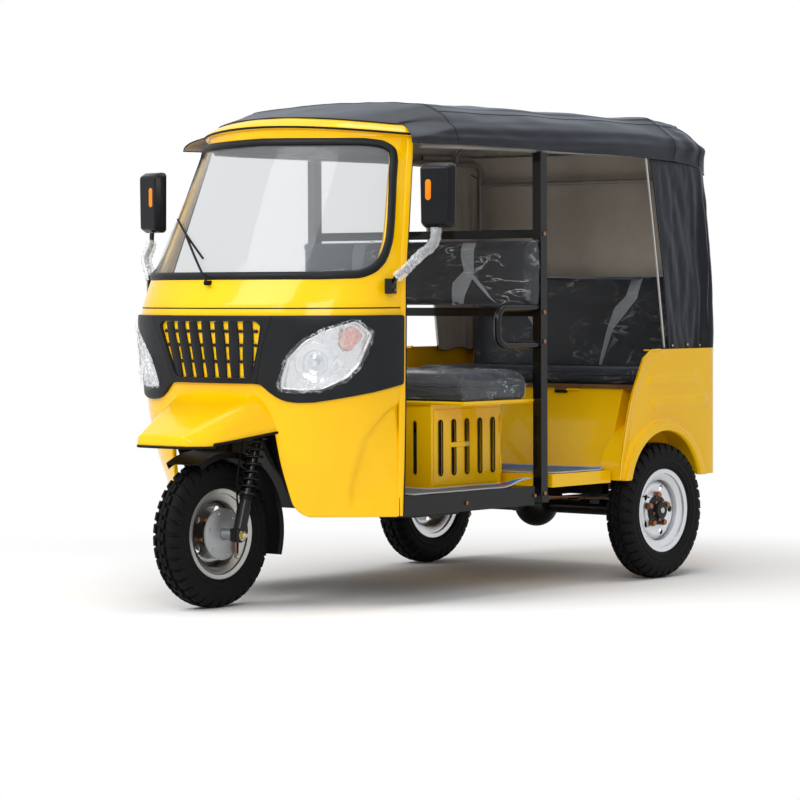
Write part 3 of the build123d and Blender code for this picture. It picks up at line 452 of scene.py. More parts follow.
def edge_distance(point, loop):
    """Distance from a flat point to a closed loop."""
    best = 1e9
    p = Vector(point)
    for a, b in zip(loop, loop[1:] + loop[:1]):
        run = b - a
        t = max(0.0, min(1.0, (p - a).dot(run) / max(run.length_squared, 1e-9)))
        best = min(best, (a + run * t - p).length)
    return best


def inset(loop, amount, hole):
    """The loop moved into the panel by an amount."""
    area = sum(a.x * b.y - b.x * a.y for a, b in zip(loop, loop[1:] + loop[:1]))
    turn = 1 if (area > 0) != hole else -1
    out = []
    for i, p in enumerate(loop):
        run = (loop[(i + 1) % len(loop)] - loop[i - 1]).normalized()
        out.append(p + Vector((-run.y, run.x)) * amount * turn)
    return out


def panel(name, outline, holes, surface, thickness, material, edge=3.0, spacing=24.0, relief=None,
          body="body", top=0.0, fine=9.0):
    """A panel of some thickness under a surface(s, z, off), with rolled edges."""
    loops = [resampled([Vector(p[:2]) for p in outline], fine)]
    loops += [resampled([Vector(p[:2]) for p in hole], fine) for hole in holes]
    points, depth, edges = [], [], []
    for index, loop in enumerate(loops):
        for share in (0.0, 0.35, 1.0):
            start = len(points)
            ring = inset(loop, edge * share, index > 0)
            points += ring
            depth += [1 - math.sqrt(max(0.0, 1 - (1 - share) ** 2))] * len(ring)
            edges += [(start + k, start + (k + 1) % len(ring)) for k in range(len(ring))]
    lows = [min(p[k] for p in loops[0]) for k in (0, 1)]
    highs = [max(p[k] for p in loops[0]) for k in (0, 1)]
    columns = int((highs[0] - lows[0]) / spacing) + 1
    rows = int((highs[1] - lows[1]) / (spacing * 0.87)) + 1
    for i in range(columns + 1):
        for j in range(rows + 1):
            p = Vector((lows[0] + (i + 0.5 * (j % 2)) * spacing, lows[1] + j * spacing * 0.87))
            if not inside(p, loops[0]) or any(inside(p, hole) for hole in loops[1:]):
                continue
            if min(edge_distance(p, loop) for loop in loops) > edge + 0.45 * spacing:
                points.append(p)
                depth.append(0.0)
    flat, _, tris, origin, _, _ = delaunay_2d_cdt(points, edges, [], 0, 1e-4)
    keep = []
    for tri in tris:
        middle = sum((flat[k] for k in tri), Vector((0, 0))) / 3
        if inside(middle, loops[0]) and not any(inside(middle, hole) for hole in loops[1:]):
            keep.append(tuple(tri))
    drop = [max([depth[k] for k in ids], default=0.0) * edge for ids in origin]
    extra = [relief(p.x, p.y) if relief else 0.0 for p in flat]
    verts = [surface(p.x, p.y, top + e - d) for p, e, d in zip(flat, extra, drop)]
    count = len(verts)
    verts += [surface(p.x, p.y, top + e - thickness) for p, e in zip(flat, extra)]
    faces = keep + [tuple(count + k for k in reversed(tri)) for tri in keep]
    sides = {}
    for tri in keep:
        for k in range(3):
            a, b = tri[k], tri[(k + 1) % 3]
            sides[(a, b)] = True
    for a, b in sides:
        if (b, a) not in sides:
            faces.append((b, a, count + a, count + b))
    return piece(name, verts, faces, material, body, angle=55)

# %% [markdown]
# ## The curved cab
# Seen from above, the cab skin is three arcs at every height: one across the
# front and one down each side. A table gives those arcs by height. A place on the
# skin is a run s from the middle plane, measured round the arcs, and a height z.

# %% Cab surface
CAB_ROWS = (  # height; rear edge x, half width, shoulder x, side bulge, nose x
    (300, 690, 580, 924, 8, 1030), (340, 690, 582, 928, 8, 1033), (440, 690, 585, 953, 14, 1050),
    (540, 690, 590, 978, 38, 1046), (700, 690, 596, 998, 64, 1036), (1060, 690, 600, 1052, 73, 1093),
    (1105, 690, 600, 1048, 68, 1089), (1205, 688, 598, 998, 56, 1036), (1730, 526, 506, 713, 22, 776),
    (1790, 508, 495, 680, 18, 746),
)
SHOULDER_Y = 300.0
FRONT_RUN = 310.0       # nominal run of the front arc, middle to shoulder
SIDE_RUN = 480.0        # and of the side arc, shoulder to rear edge
SKIN_END = FRONT_RUN + SIDE_RUN


def arc(p0, p1, bulge, t):
    """Place and outward direction at share t of a flat arc."""
    chord = p1 - p0
    half = chord.length / 2
    radius = (half * half + bulge * bulge) / (2 * bulge)
    normal = Vector((chord.y, -chord.x)).normalized()
    middle = (p0 + p1) / 2 + normal * (bulge - radius)
    sweep_half = math.asin(min(1.0, half / radius))
    angle = math.atan2(normal.y, normal.x) + sweep_half * (2 * t - 1)
    out = Vector((math.cos(angle), math.sin(angle)))
    return middle + out * radius, out


def cab_row(z):
    """Plan values, averaged over a short height so that rows blend."""
    rows = [table_at(CAB_ROWS, z + shift) for shift in (-24, -12, 0, 12, 24)]
    return [sum(values) / len(values) for values in zip(*rows)]


def cab_place(s, z):
    """Plan place and outward direction of the skin at run s."""
    rear, half, shoulder, bulge, nose = cab_row(z)
    run = abs(s)
    if run <= FRONT_RUN:
        rise = nose - shoulder
        radius = (SHOULDER_Y ** 2 + rise ** 2) / (2 * rise)
        angle = math.asin(SHOULDER_Y / radius) * run / FRONT_RUN
        out = Vector((math.cos(angle), math.sin(angle)))
        place = Vector((nose - radius, 0)) + out * radius
    else:
        t = (run - FRONT_RUN) / SIDE_RUN
        place, out = arc(Vector((shoulder, SHOULDER_Y)), Vector((rear, half)), bulge, t)
    if s < 0:
        place.y, out.y = -place.y, -out.y
    return place, out


def cab_skin(s, z, off=0.0):
    """Point on the cab skin, moved out by off."""
    place, out = cab_place(s, z)
    return Vector((place.x + out.x * off, place.y + out.y * off, z))


def cab_normal(s, z):
    """Outward direction of the skin, with its slope."""
    along = cab_skin(s + 2, z) - cab_skin(s - 2, z)
    rise = cab_skin(s, z + 4) - cab_skin(s, z - 4)
    return along.cross(rise).normalized()


def run_of(y, z):
    """The run s whose point lies at this y."""
    low, high = 0.0, SKIN_END * 1.02
    for _ in range(26):
        middle = (low + high) / 2
        if cab_place(middle, z)[0].y < abs(y):
            low = middle
        else:
            high = middle
    return math.copysign(low, y)


def on_cab(points):
    """Flat outline in (s, z) from (y, z) points."""
    return [Vector((run_of(p[0], p[1]), p[1])) for p in points]


def mirror_outline(half):
    """Close a left half outline with its mirror image."""
    return list(half) + [(-p[0], p[1]) for p in reversed(half) if abs(p[0]) > 1e-6]


test = [cab_place(s, 900.0)[0] for s in (0, 155, 309, 311, 550, 789)]
print("cab plan at 900:", [(round(p.x), round(p.y)) for p in test])

# %% Cab shell with its openings
SCREEN = (
    (0, 1208), (420, 1208), (527, 1212), (552, 1232), (561, 1266), (561, 1298), (556, 1353), (543, 1426),
    (526, 1510), (510, 1587), (497, 1655), (482, 1700), (452, 1724), (400, 1733), (0, 1740),
)
WHEEL_OPENING = ((0, 745), (150, 745), (235, 668), (257, 652), (277, 500), (292, 380), (309, 352), (334, 338))
HEADLAMP = (
    (539, 1060), (566, 1012), (557, 971), (537, 893), (508, 848), (443, 809), (377, 805), (302, 812),
    (315, 863), (341, 922), (398, 984), (468, 1027),
)
SWOOSH = ((365, 449), (439, 460), (544, 499), (624, 525), (686, 558), (760, 593))


def apron_relief(s, z):
    """The pressed line that sweeps down each side of the apron."""
    if not 350 < z < 775:
        return 0.0
    start = abs(run_of(table_at(SWOOSH, z)[0], z))
    over = abs(s) - start
    band = 20 + 16 * smooth_step((z - 360) / 300)
    fade = smooth_step((z - 352) / 90) * smooth_step((778 - z) / 50)
    return -19.0 * fade * smooth_step(over / band) * (1 - smooth_step((over - band) / 230))


def beltline(s, z):
    return -2.2 * math.exp(-((z - 1105) / 5.0) ** 2)


left_opening = [Vector((run_of(y, z), z)) for y, z in rounded(WHEEL_OPENING, 26, closed=False)]
cab_outline = [Vector((SKIN_END, 1742)), Vector((SKIN_END, 338))]
cab_outline += list(reversed(left_opening))
cab_outline += [Vector((-p.x, p.y)) for p in left_opening]
cab_outline += [Vector((-SKIN_END, 338)), Vector((-SKIN_END, 1742))]
screen_loop = rounded(mirror_outline([(y * 0.975, 1222 if z < 1215 else z - 8) for y, z in SCREEN]), 20)
lamp_loop = on_cab(rounded([(y, z) for y, z in HEADLAMP], 14))
mirror_lamp = [Vector((-p.x, p.y)) for p in lamp_loop]
shell = panel("cab_skin", cab_outline, [on_cab(screen_loop), lamp_loop, mirror_lamp], cab_skin, 16,
              yellow_enamel, edge=5, spacing=14, relief=lambda s, z: apron_relief(s, z) + beltline(s, z))
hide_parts("cab_shell")
print("cab skin faces", len(shell.data.polygons))

# %% Belt line, rear edge rubber and roll of the rear edge
def on_skin(name, places, section, material, off=0.0, closed=False, scales=None):
    """Sweep a section over the cab skin along (s, z) places."""
    path = [cab_skin(p[0], p[1], off) for p in places]
    normals = [cab_normal(p[0], p[1]) for p in places]
    return sweep(name, path, normals, section, material, closed=closed, scales=scales)


belt_runs = [(-SKIN_END + 4 + k * (2 * SKIN_END - 8) / 80, 1105) for k in range(81)]
on_skin("belt_line", belt_runs, round_section(2.4), trim_rubber, off=-1.2)
for side, sign in SIDES:
    levels = [342 + k * 1390 / 60 for k in range(61)]
    on_skin(f"rear_edge_flange_{side}", [(sign * (SKIN_END + 9), z) for z in levels],
            ((-13, 0), (-11, 2.5), (-4, 3), (2, 5.5), (9, 5), (13, 0), (12, -8), (-12, -8)), yellow_enamel)
    on_skin(f"rear_edge_rubber_{side}", [(sign * (SKIN_END + 25), z) for z in levels],
            round_section(5.0, flat=1.5), trim_rubber, off=-4)

# %% [markdown]
# ## Fascia, grille and lamps
# The charcoal fascia is one moulding that wraps the nose. Its grille has seven
# chevron bars that stand in front of three cross ribs, with the yellow skin
# showing in the slots.

# %% Fascia
FASCIA_T = 12.0
FASCIA = (
    (0, 1079), (594, 1079), (594, 818), (558, 797), (520, 785), (470, 773), (410, 762), (356, 761),
    (318, 766), (290, 776), (262, 793), (238, 813), (222, 826), (190, 829), (0, 829),
)
GRILLE = ((0, 1058), (230, 1058), (251, 1042), (232, 975), (205, 895), (190, 860), (174, 850), (0, 850))
BAR_ROWS = ((846, 57, 19), (935, 60.5, 25), (1000, 64, 23), (1062, 65, 21))  # height; pitch, half width


def fascia_relief(s, z):
    """Soft moulded line: a crescent near each end."""
    relief = 0.0
    run = abs(s)
    crescent = 700 - 60 * ((z - 950) / 120) ** 2
    if 830 < z < 1060:
        fade = smooth_step((z - 835) / 60) * smooth_step((1058 - z) / 50)
        relief += 3.2 * fade * math.exp(-((run - crescent) / 11) ** 2)
    return relief


fascia_half = [Vector((0, 1079)), Vector((SKIN_END + 8, 1079)), Vector((SKIN_END + 8, 826))]
fascia_half += [Vector((run_of(y, z), z)) for y, z in FASCIA[3:]]
fascia_loop = rounded(mirror_outline(fascia_half), 12)
grille_loop = on_cab(rounded(mirror_outline(GRILLE), 10))
lamp_hole = on_cab(rounded([(y, z) for y, z in HEADLAMP], 14))
fascia = panel("fascia_moulding", fascia_loop, [grille_loop, lamp_hole, [Vector((-p.x, p.y)) for p in lamp_hole]],
               cab_skin, FASCIA_T - 0.3, charcoal_abs, edge=4, spacing=18, top=FASCIA_T, relief=fascia_relief)
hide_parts("fascia")

# %% Grille bars, ribs and lugs
BAR_SECTION = ((-1.0, 1.0), (-0.94, 7.2), (-0.84, 8.6), (0.0, 9.6), (0.84, 8.6), (0.94, 7.2), (1.0, 1.0))
for index in range(7):
    step = index - 3
    places, scales = [], []
    for k in range(25):
        z = 1056 - k * (1056 - 852) / 24
        pitch, half = table_at(BAR_ROWS, z)
        places.append((run_of(step * pitch, z) if step else 0.0, z))
        scales.append((half - 1.5, 1))
    on_skin(f"grille_bar_{index + 1}", places, BAR_SECTION, charcoal_abs, scales=scales)
for index, (low, high) in enumerate(((1017, 1024), (966, 974), (906, 914))):
    half = table_at([(850, 174), (914, 208), (1058, 246)], high)[0]
    places = [(-half + k * 2 * half / 40, (low + high) / 2) for k in range(41)]
    wide = (high - low) / 2
    on_skin(f"grille_rib_{index + 1}", places,
            ((-wide, 0.5), (-wide, 3.5), (-wide * 0.5, 5), (wide * 0.5, 5), (wide, 3.5), (wide, 0.5)), charcoal_abs)
lug_verts, lug_faces = [], []
for z in (1021, 970, 910):
    pitch, half = table_at(BAR_ROWS, z)
    for slot in range(8):
        y = (slot - 3.5) * pitch
        if z == 910 and slot in (0, 7):
            continue
        base = len(lug_verts)
        wide = pitch / 2 - half + 1
        for r in range(7):
            for a in range(9):
                t = math.pi * a / 8
                u = r / 6 * 2 - 1
                shape = math.sqrt(max(0.0, 1 - u * u * 0.75))
                s = run_of(y, z) + wide * math.cos(t) * shape
                lug_verts.append(cab_skin(s, z + 6 * u, 3.5 + 5.0 * math.sin(t) * shape))
        for r in range(6):
            for a in range(8):
                k = base + r * 9 + a
                lug_faces.append((k, k + 1, k + 10, k + 9))
piece("grille_lugs", lug_verts, lug_faces, charcoal_abs)
trim_loop = inset([Vector(p) for p in grille_loop], -3.0, False)
on_skin("grille_surround", resampled(trim_loop, 9), round_section(3.4, 8, 0.9), charcoal_abs,
        off=FASCIA_T - 1.0, closed=True)
SPLIT = ((298, 1077), (276, 1025), (253, 973), (229, 903), (207, 831))
for side, sign in SIDES:
    places = [(run_of(sign * y, z), z) for y, z in resampled(SPLIT, 10, closed=False)]
    on_skin(f"fascia_joint_{side}", places, round_section(1.8, 8, 0.8), trim_rubber, off=FASCIA_T - 0.7)

# %% [markdown]
# ## Headlamps
# Each lamp is a chrome bowl with a round dish, an orange turn signal in its outer
# horn, a clear cover, and the crinkled wrap that a new vehicle still has on.

# %% Clear wrap
def crinkled_wrap(name, clear_share=0.10, crease_highlight_share=0.72, size_mm=34.0):
    """Thin clear film, nearly invisible, with painted highlights: patches of its crease lines are made whiter and more
    opaque.
    """
    mat, tree, shader, coords = finish(name, "#F4F7FA", Roughness=0.16)
    warp = add(tree, "ShaderNodeTexNoise", {"Vector": coords, "Scale": 1000 / (size_mm * 1.6), "Detail": 3.0})
    bent = add(tree, "ShaderNodeMix", {0: 0.06, 4: coords, 5: warp.outputs["Color"]}, data_type="VECTOR")
    bent = bent.outputs[1]
    creases = add(tree, "ShaderNodeTexVoronoi", {"Vector": bent, "Scale": 1000 / size_mm}, feature="DISTANCE_TO_EDGE")
    line = add(tree, "ShaderNodeMapRange", {"Value": creases.outputs["Distance"], "From Min": 0.0, "From Max": 0.09,
                                            "To Min": 1.0, "To Max": 0.0})
    patch = add(tree, "ShaderNodeTexNoise", {"Vector": coords, "Scale": 9.0, "Detail": 4.0})
    mask = add(tree, "ShaderNodeMapRange", {"Value": patch.outputs["Fac"], "From Min": 0.42, "From Max": 0.62})
    shine = add(tree, "ShaderNodeMath", {0: line.outputs["Result"], 1: mask.outputs["Result"]}, operation="MULTIPLY")
    # Painted highlight: crease lines inside the noise patches get more opacity, so the near-white film shows there as
    # if light caught them.
    alpha = add(tree, "ShaderNodeMapRange", {"Value": shine.outputs[0], "To Min": clear_share,
                                             "To Max": crease_highlight_share})
    tree.links.new(alpha.outputs["Result"], shader.inputs["Alpha"])
    grained(tree, shader, creases.outputs["Distance"], 0.004, 0.7)
    mat.surface_render_method = "BLENDED"
    return mat


wrap_film = crinkled_wrap("clear wrap film", 0.3, 0.85, 20.0)
lamp_film = crinkled_wrap("lamp wrap film", 0.03, 0.5, 26.0)
signal_amber = moulded("signal amber", "#C8431C", "#E2692A", 0.25)

# %% Lamp bowls, dishes, signals and covers
def lamp_dish(s, z):
    """Depth of the reflector: a round dish, steps below it and a horn above."""
    run = abs(s)
    centre = Vector((run_of(425, 905), 905))
    reach = (Vector((run, z)) - centre).length
    bowl = -26.0 * (1 - smooth_step(reach / 84)) - 4.0 * (1 if 84 < reach < 90 else 0)
    flutes = 1.2 * math.sin(run / 5.2) * smooth_step((860 - z) / 16)
    horn = -14.0 * smooth_step((run - run_of(492, 1000)) / 30) * smooth_step((z - 930) / 40)
    return bowl + flutes + horn


lamp_flat = rounded([(y, z) for y, z in HEADLAMP], 14)
for side, sign in SIDES:
    loop = [Vector((p.x * sign, p.y)) for p in on_cab(lamp_flat)]
    if sign < 0:
        loop.reverse()
    bowl = panel(f"lamp_bowl_{side}", inset(loop, 1.5, False), [], cab_skin, 6, reflector_chrome, edge=1.5,
                 spacing=9, top=-8, relief=lamp_dish)
    cover = panel(f"lamp_cover_{side}", inset(loop, 1.0, False), [], cab_skin, 2.2, lamp_lens, edge=3, spacing=20,
                  top=16, relief=lambda s, z: 2.0 * math.exp(-((z - 930) / 90) ** 2))
    if sign > 0:
        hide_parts("headlamp_bowls")
        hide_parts("headlamp_lenses")
    rim_loop = inset(loop, 3.5, False)
    on_skin(f"lamp_bezel_{side}", resampled(rim_loop, 8), ((-5, 0), (-4, 5), (0, 7), (4, 4), (5, -6), (-3, -8)),
            reflector_chrome, off=2, closed=True)
    centre = cab_skin(sign * run_of(425, 905), 905, -16)
    out = cab_normal(sign * run_of(425, 905), 905)
    for index, (reach, lift, size) in enumerate(((76, 9, 3.0), (38, 4, 2.2))):
        ring = []
        across_dir = Vector((-out.y, out.x, 0)).normalized()
        up_dir = out.cross(across_dir)
        for k in range(40):
            a = 2 * math.pi * k / 40
            ring.append(centre + out * lift + (across_dir * math.cos(a) + up_dir * math.sin(a)) * reach)
        sweep(f"lamp_ring_{side}_{index + 1}", ring, [out] * 40, round_section(size, 8), reflector_chrome, closed=True)
    bulb = turned(f"lamp_bulb_{side}", ((0.01, 14), (9, 12), (13, 5), (14, -4), (10, -18), (0.01, -20)),
                  (0, 0, 0), reflector_chrome, steps=24, axis="X", closed=False)
    turn = Vector((1, 0, 0)).rotation_difference(out).to_matrix().to_4x4()
    bulb.data.transform(Matrix.Translation((centre + out * 8) * MM) @ turn)
    horn_loop = [(y, z) for y, z in ((498, 968), (520, 950), (545, 985), (551, 1010), (536, 1042), (508, 1018))]
    horn = [Vector((sign * p.x, p.y)) for p in on_cab(rounded(horn_loop, 10))]
    if sign < 0:
        horn.reverse()
    panel(f"turn_signal_{side}", horn, [], cab_skin, 6, signal_amber, edge=2.5, spacing=8, top=-2,
          relief=lambda s, z: 1.6 * math.sin(s / 2.6))
    wrinkle = lambda s, z: (7.0 + 9.0 * noise.noise(Vector((s, z, 4.2)) / 34)
                            + 4.5 * noise.noise(Vector((s, z, 9.1)) / 13))
    film_loop = [Vector((p.x + 7 * noise.noise(Vector((p.x, p.y, 0)) / 22),
                         p.y + 9 * noise.noise(Vector((p.x, p.y, 7)) / 22)))
                 for p in inset(resampled(loop, 7), -9, False)]
    panel(f"lamp_wrap_{side}", film_loop, [], cab_skin, 0.5, lamp_film, edge=1.0, spacing=7, top=FASCIA_T + 1.5,
          relief=wrinkle, fine=6)

# %% [markdown]
# ## Windscreen, visor and beak
# The windscreen sits in a fat rubber seal that is round outside. Above it a rolled
# lip arches over the glass and a painted band slopes back under the hood.

# %% Seal and glass
seal_loop = on_cab(resampled(rounded(mirror_outline(SCREEN), 16), 11))
seal_inner = inset(seal_loop, 15, False)
BEAD = ((-16, -4), (-15, 4), (-10, 9), (-2, 11), (7, 9.5), (13, 5), (16, -1), (15, -8))
on_skin("windscreen_seal_bead", seal_inner, BEAD, seal_rubber, closed=True)
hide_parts("windscreen_seal")
on_skin("seal_lock_strip", inset(seal_loop, 24, False), round_section(3.0, 8), trim_rubber, off=6.5, closed=True)
glass = panel("windscreen_pane", inset(seal_loop, 20, False), [], cab_skin, 5, window_glass, edge=1, spacing=60,
              top=-1)
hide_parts("windscreen_glass")

# %% Visor: arched lip and the painted band above it
def arch_rise(y):
    """How far the lip stands above its ends."""
    return 36.0 * (1 - (y / 520) ** 2)


VISOR_SECTION = (  # set back from the lip, height above it
    (0.0, 0.0), (-2.0, 7.0), (-13.0, 16.0), (-34.0, 27.0), (-62.0, 36.0), (-64.0, 31.0),
    (-36.0, 21.0), (-17.0, 10.0), (-9.0, 1.0), (-16.0, -4.0), (-40.0, -6.0), (-40.0, -12.0),
    (-12.0, -10.0), (-3.0, -6.0),
)
lip_end = run_of(518, 1744)
lip_path, lip_out = [], []
for k in range(81):
    s = -lip_end + k * lip_end / 40
    place, out = cab_place(s, 1744)
    height = 1744 + arch_rise(place.y)
    place = place + out * 15
    lip_path.append(Vector((place.x, place.y, height)))
    lip_out.append(Vector((out.x, out.y, 0)))
verts, faces = [], []
count = len(VISOR_SECTION)
for p, out in zip(lip_path, lip_out):
    verts += [p + out * back + Vector((0, 0, rise)) for back, rise in VISOR_SECTION]
for k in range(80):
    faces += [(k * count + m, k * count + (m + 1) % count, (k + 1) * count + (m + 1) % count, (k + 1) * count + m)
              for m in range(count)]
faces += [tuple(range(count)), tuple(80 * count + m for m in range(count))]
visor = piece("visor_band", verts, faces, yellow_enamel, angle=30)
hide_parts("visor")
lip_edge = [p + out * 1.0 for p, out in zip(lip_path, lip_out)]
sweep("visor_edge_rubber", lip_edge, lip_out, round_section(4.2, 10, 0.9), trim_rubber)
header = []
for k in range(81):
    s = -lip_end + k * lip_end / 40
    place, out = cab_place(s, 1735)
    header += [(place.x + out.x * o, place.y + out.y * o, z) for o, z in
               ((-2, 1728), (-3, 1744 + arch_rise(place.y) - 4), (-12, 1744 + arch_rise(place.y) - 4), (-14, 1728))]
faces = [(4 * k + m, 4 * k + (m + 1) % 4, 4 * k + 4 + (m + 1) % 4, 4 * k + 4 + m) for k in range(80) for m in range(4)]
piece("visor_header", header, faces + [(0, 1, 2, 3), (320, 321, 322, 323)], yellow_enamel)

# %% Beak over the front wheel
BEAK_ROWS = (  # x; bottom edge y, z; lower crease y, z; upper crease y, z
    (925, 298, 667, 262, 773, 222, 842), (985, 276, 657, 247, 752, 208, 812), (1100, 234, 638, 215, 713, 180, 755),
    (1200, 198, 622, 186, 670, 150, 710), (1345, 145, 605, 126, 612, 109, 638),
)
BEAK_TIP = 1336.0


def beak_tip(y):
    """Forward reach of the rounded front edge at this y."""
    y = abs(y)
    reach = BEAK_TIP - 8.0 * (y / 112) ** 2
    return reach - max(0.0, y - 108) ** 2 / 75


def beak_section(x):
    """Half section from the bottom edge up and over to the middle, softly creased."""
    ly, lz, my, mz, uy, uz = table_at(BEAK_ROWS, x)
    corner = rounded([(ly, lz, 0), (my, mz, 0), (uy, uz, 0), (0, uz + 5, 0)], 26, closed=False, steps=6)
    line = resampled(corner, 400, closed=False)
    return [(p.x, p.y) for p in line]


def beak_point(share, x):
    """Point across the section at x; share runs from the left edge over to the right."""
    half = beak_section(x)
    full = half + [(-y, z) for y, z in reversed(half[:-1])]
    place = share * (len(full) - 1)
    k = min(int(place), len(full) - 2)
    return Vector(full[k]).lerp(Vector(full[k + 1]), place - k)


ACROSS = 64
ALONG = 30
columns = []
for j in range(ACROSS + 1):
    share = j / ACROSS
    tip, root = 1325.0, 1000.0
    for _ in range(8):
        tip = beak_tip(beak_point(share, tip).x)
        y, z = beak_point(share, root)
        root = cab_skin(run_of(y, z), z).x - 6
    column = []
    for i in range(ALONG + 1):
        x = root + (tip - root) * i / ALONG
        y, z = beak_point(share, x)
        reach = (x - root) / 52
        lift = 20 * max(0.0, 1 - reach) ** 2 * smooth_step(1 - abs(y) / 260)
        column.append(Vector((x, y, z + lift)))
    end = column[-1]
    base = 606.5
    drop = max(0.0, end.z - base)
    column += [end + Vector((min(2.5, drop * 0.1), 0, -min(5.0, drop * 0.3))),
               end + Vector((min(3.0, drop * 0.1), 0, -drop * 0.75)), Vector((end.x + 1, end.y, end.z - drop))]
    columns.append(column)
deep = len(columns[0])
verts = [p for column in columns for p in column]
faces = quad_strip(ACROSS + 1, deep)
beak = piece("beak_pressing", verts, faces, yellow_enamel, angle=60)
if sum((p.normal.z * p.area for p in beak.data.polygons)) < 0:
    beak.data.flip_normals()
modified(beak, "SOLIDIFY", thickness=2.6 * MM, offset=-1)
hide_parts("nose_guard")
edge_path = columns[0][:-1] + [column[-1] for column in columns] + list(reversed(columns[-1][:-1]))
edge_path = [p for k, p in enumerate(edge_path) if k == 0 or (p - edge_path[k - 1]).length > 2.0]
edge_path = rounded(resampled(edge_path, 12, closed=False), 9, closed=False, steps=2)
outwards = []
for p in edge_path:
    out = Vector((p.x - 1130, p.y * 1.2, 0)).normalized()
    outwards.append(out)
sweep("beak_edge_rubber", edge_path, outwards, [(a - 3, b) for a, b in round_section(5.0, 10, 0.75)], trim_rubber)

# %% [markdown]
# ## Soft hood
# The hood is coated cloth: dark and slightly shiny outside, grey-brown inside. It
# is one sheet stretched over the hoops, drawn as rows from one side hem over the
# roof to the other, then given sag, folds and a doubled hem.

# %% Cloths
def coated_cloth(name, colour, shade, roughness, weave_mm=1.1, relief=0.00018, sheen=0.25):
    mat, tree, shader, coords = finish(name, colour, Roughness=roughness)
    shader.inputs["Specular IOR Level"].default_value = 0.2
    shader.inputs["Sheen Weight"].default_value = sheen
    shader.inputs["Sheen Tint"].default_value = linear("#9DB0CC")
    mottled(tree, shader, coords, colour, shade, 260)
    turn = add(tree, "ShaderNodeMapping", {"Vector": coords, "Rotation": (0.6, 0.5, 0.785)})
    weave = add(tree, "ShaderNodeTexVoronoi", {"Vector": turn.outputs[0], "Scale": 1000 / weave_mm},
                distance="CHEBYCHEV")
    crease = add(tree, "ShaderNodeTexNoise", {"Vector": coords, "Scale": 14.0, "Detail": 6.0, "Roughness": 0.6})
    both = add(tree, "ShaderNodeMath", {0: weave.outputs["Distance"], 1: 0.12}, operation="MULTIPLY")
    total = add(tree, "ShaderNodeMath", {0: both.outputs[0], 1: crease.outputs["Fac"]})
    grained(tree, shader, total.outputs[0], relief * 8, 0.45)
    return mat


hood_cloth = coated_cloth("hood vinyl cloth", "#0F1115", "#0C0D11", 0.42)
lining_cloth = coated_cloth("hood lining", "#B3AAA0", "#A39A90", 0.8, sheen=0.1)
seat_vinyl = coated_cloth("seat vinyl", "#181A1F", "#131519", 0.3, 1.6, 0.00012)
inlay_vinyl = coated_cloth("grey seat inlay", "#8F9599", "#7C8286", 0.4, 1.6, 0.00012)

# %% Roof rows
def lip_point(s, back, rise):
    """Point behind the visor lip, for the front hem."""
    place, out = cab_place(s, 1744)
    return Vector((place.x + out.x * (15 + back), place.y + out.y * (15 + back), 1744 + arch_rise(place.y) + rise))


def half_row(x, eave, half, fold, ridge_y, ridge, crown):
    """Left half of a roof row, from the side hem up and over to the middle."""
    return [Vector(p) for p in (
        (x, half, eave), (x, half + 2, eave + 30), (x, half - 6, fold - 10), (x, half - 34, fold + 16),
        (x, (half + ridge_y) / 2 - 12, (fold + ridge) / 2 + 12),
        (x, ridge_y + 16, ridge - 8), (x, ridge_y - 26, ridge + 5),
        (x, 220, ridge + crown * 0.75), (x, 0, ridge + crown))]


front_row = [Vector((600, 581, 1714)), Vector((592, 574, 1733)), Vector((572, 548, 1752))]
front_row += [lip_point(lip_end * share, -52, 37) for share in (0.96, 0.86, 0.70, 0.50, 0.26, 0.0)]
ROOF = (  # x, side hem z, half width, fold z, ridge y, ridge z, crown
    (348, 1717, 589, 1781, 440, 1864, 22), (90, 1713, 600, 1788, 446, 1866, 28),
    (-171, 1708, 607, 1790, 448, 1866, 32), (-560, 1703, 608, 1790, 448, 1865, 32),
    (-870, 1696, 607, 1787, 446, 1862, 28), (-1037, 1690, 606, 1780, 470, 1861, 18),
    (-1150, 1680, 603, 1772, 474, 1852, 12), (-1221, 1666, 600, 1764, 478, 1836, 8),
    (-1262, 1650, 596, 1748, 478, 1800, 5), (-1284, 1640, 588, 1716, 466, 1736, 3),
    (-1291, 1636, 580, 1676, 460, 1684, 2),
)
rows = [front_row] + [half_row(*values) for values in ROOF]


def spline_at(points, t):
    """Catmull-Rom point at parameter t of a list of points."""
    k = min(int(t), len(points) - 2)
    u = t - k
    p = [points[max(0, min(len(points) - 1, k + o))] for o in (-1, 0, 1, 2)]
    return 0.5 * ((2 * p[1]) + (p[2] - p[0]) * u + (2 * p[0] - 5 * p[1] + 4 * p[2] - p[3]) * u ** 2
                  + (3 * p[1] - p[0] - 3 * p[2] + p[3]) * u ** 3)


HALF_STEPS = 56
STEPS_PER_ROW = 9
sheet_rows = []
for r in range((len(rows) - 1) * STEPS_PER_ROW + 1):
    t = r / STEPS_PER_ROW
    k = min(int(t), len(rows) - 2)
    u = t - k
    line = [rows[k][m].lerp(rows[k + 1][m], u) for m in range(9)]
    half = [spline_at(line, 8 * c / HALF_STEPS) for c in range(HALF_STEPS + 1)]
    sheet_rows.append(half + [Vector((p.x, -p.y, p.z)) for p in reversed(half[:-1])])
HOOPS = (330, -171, -650, -1080)


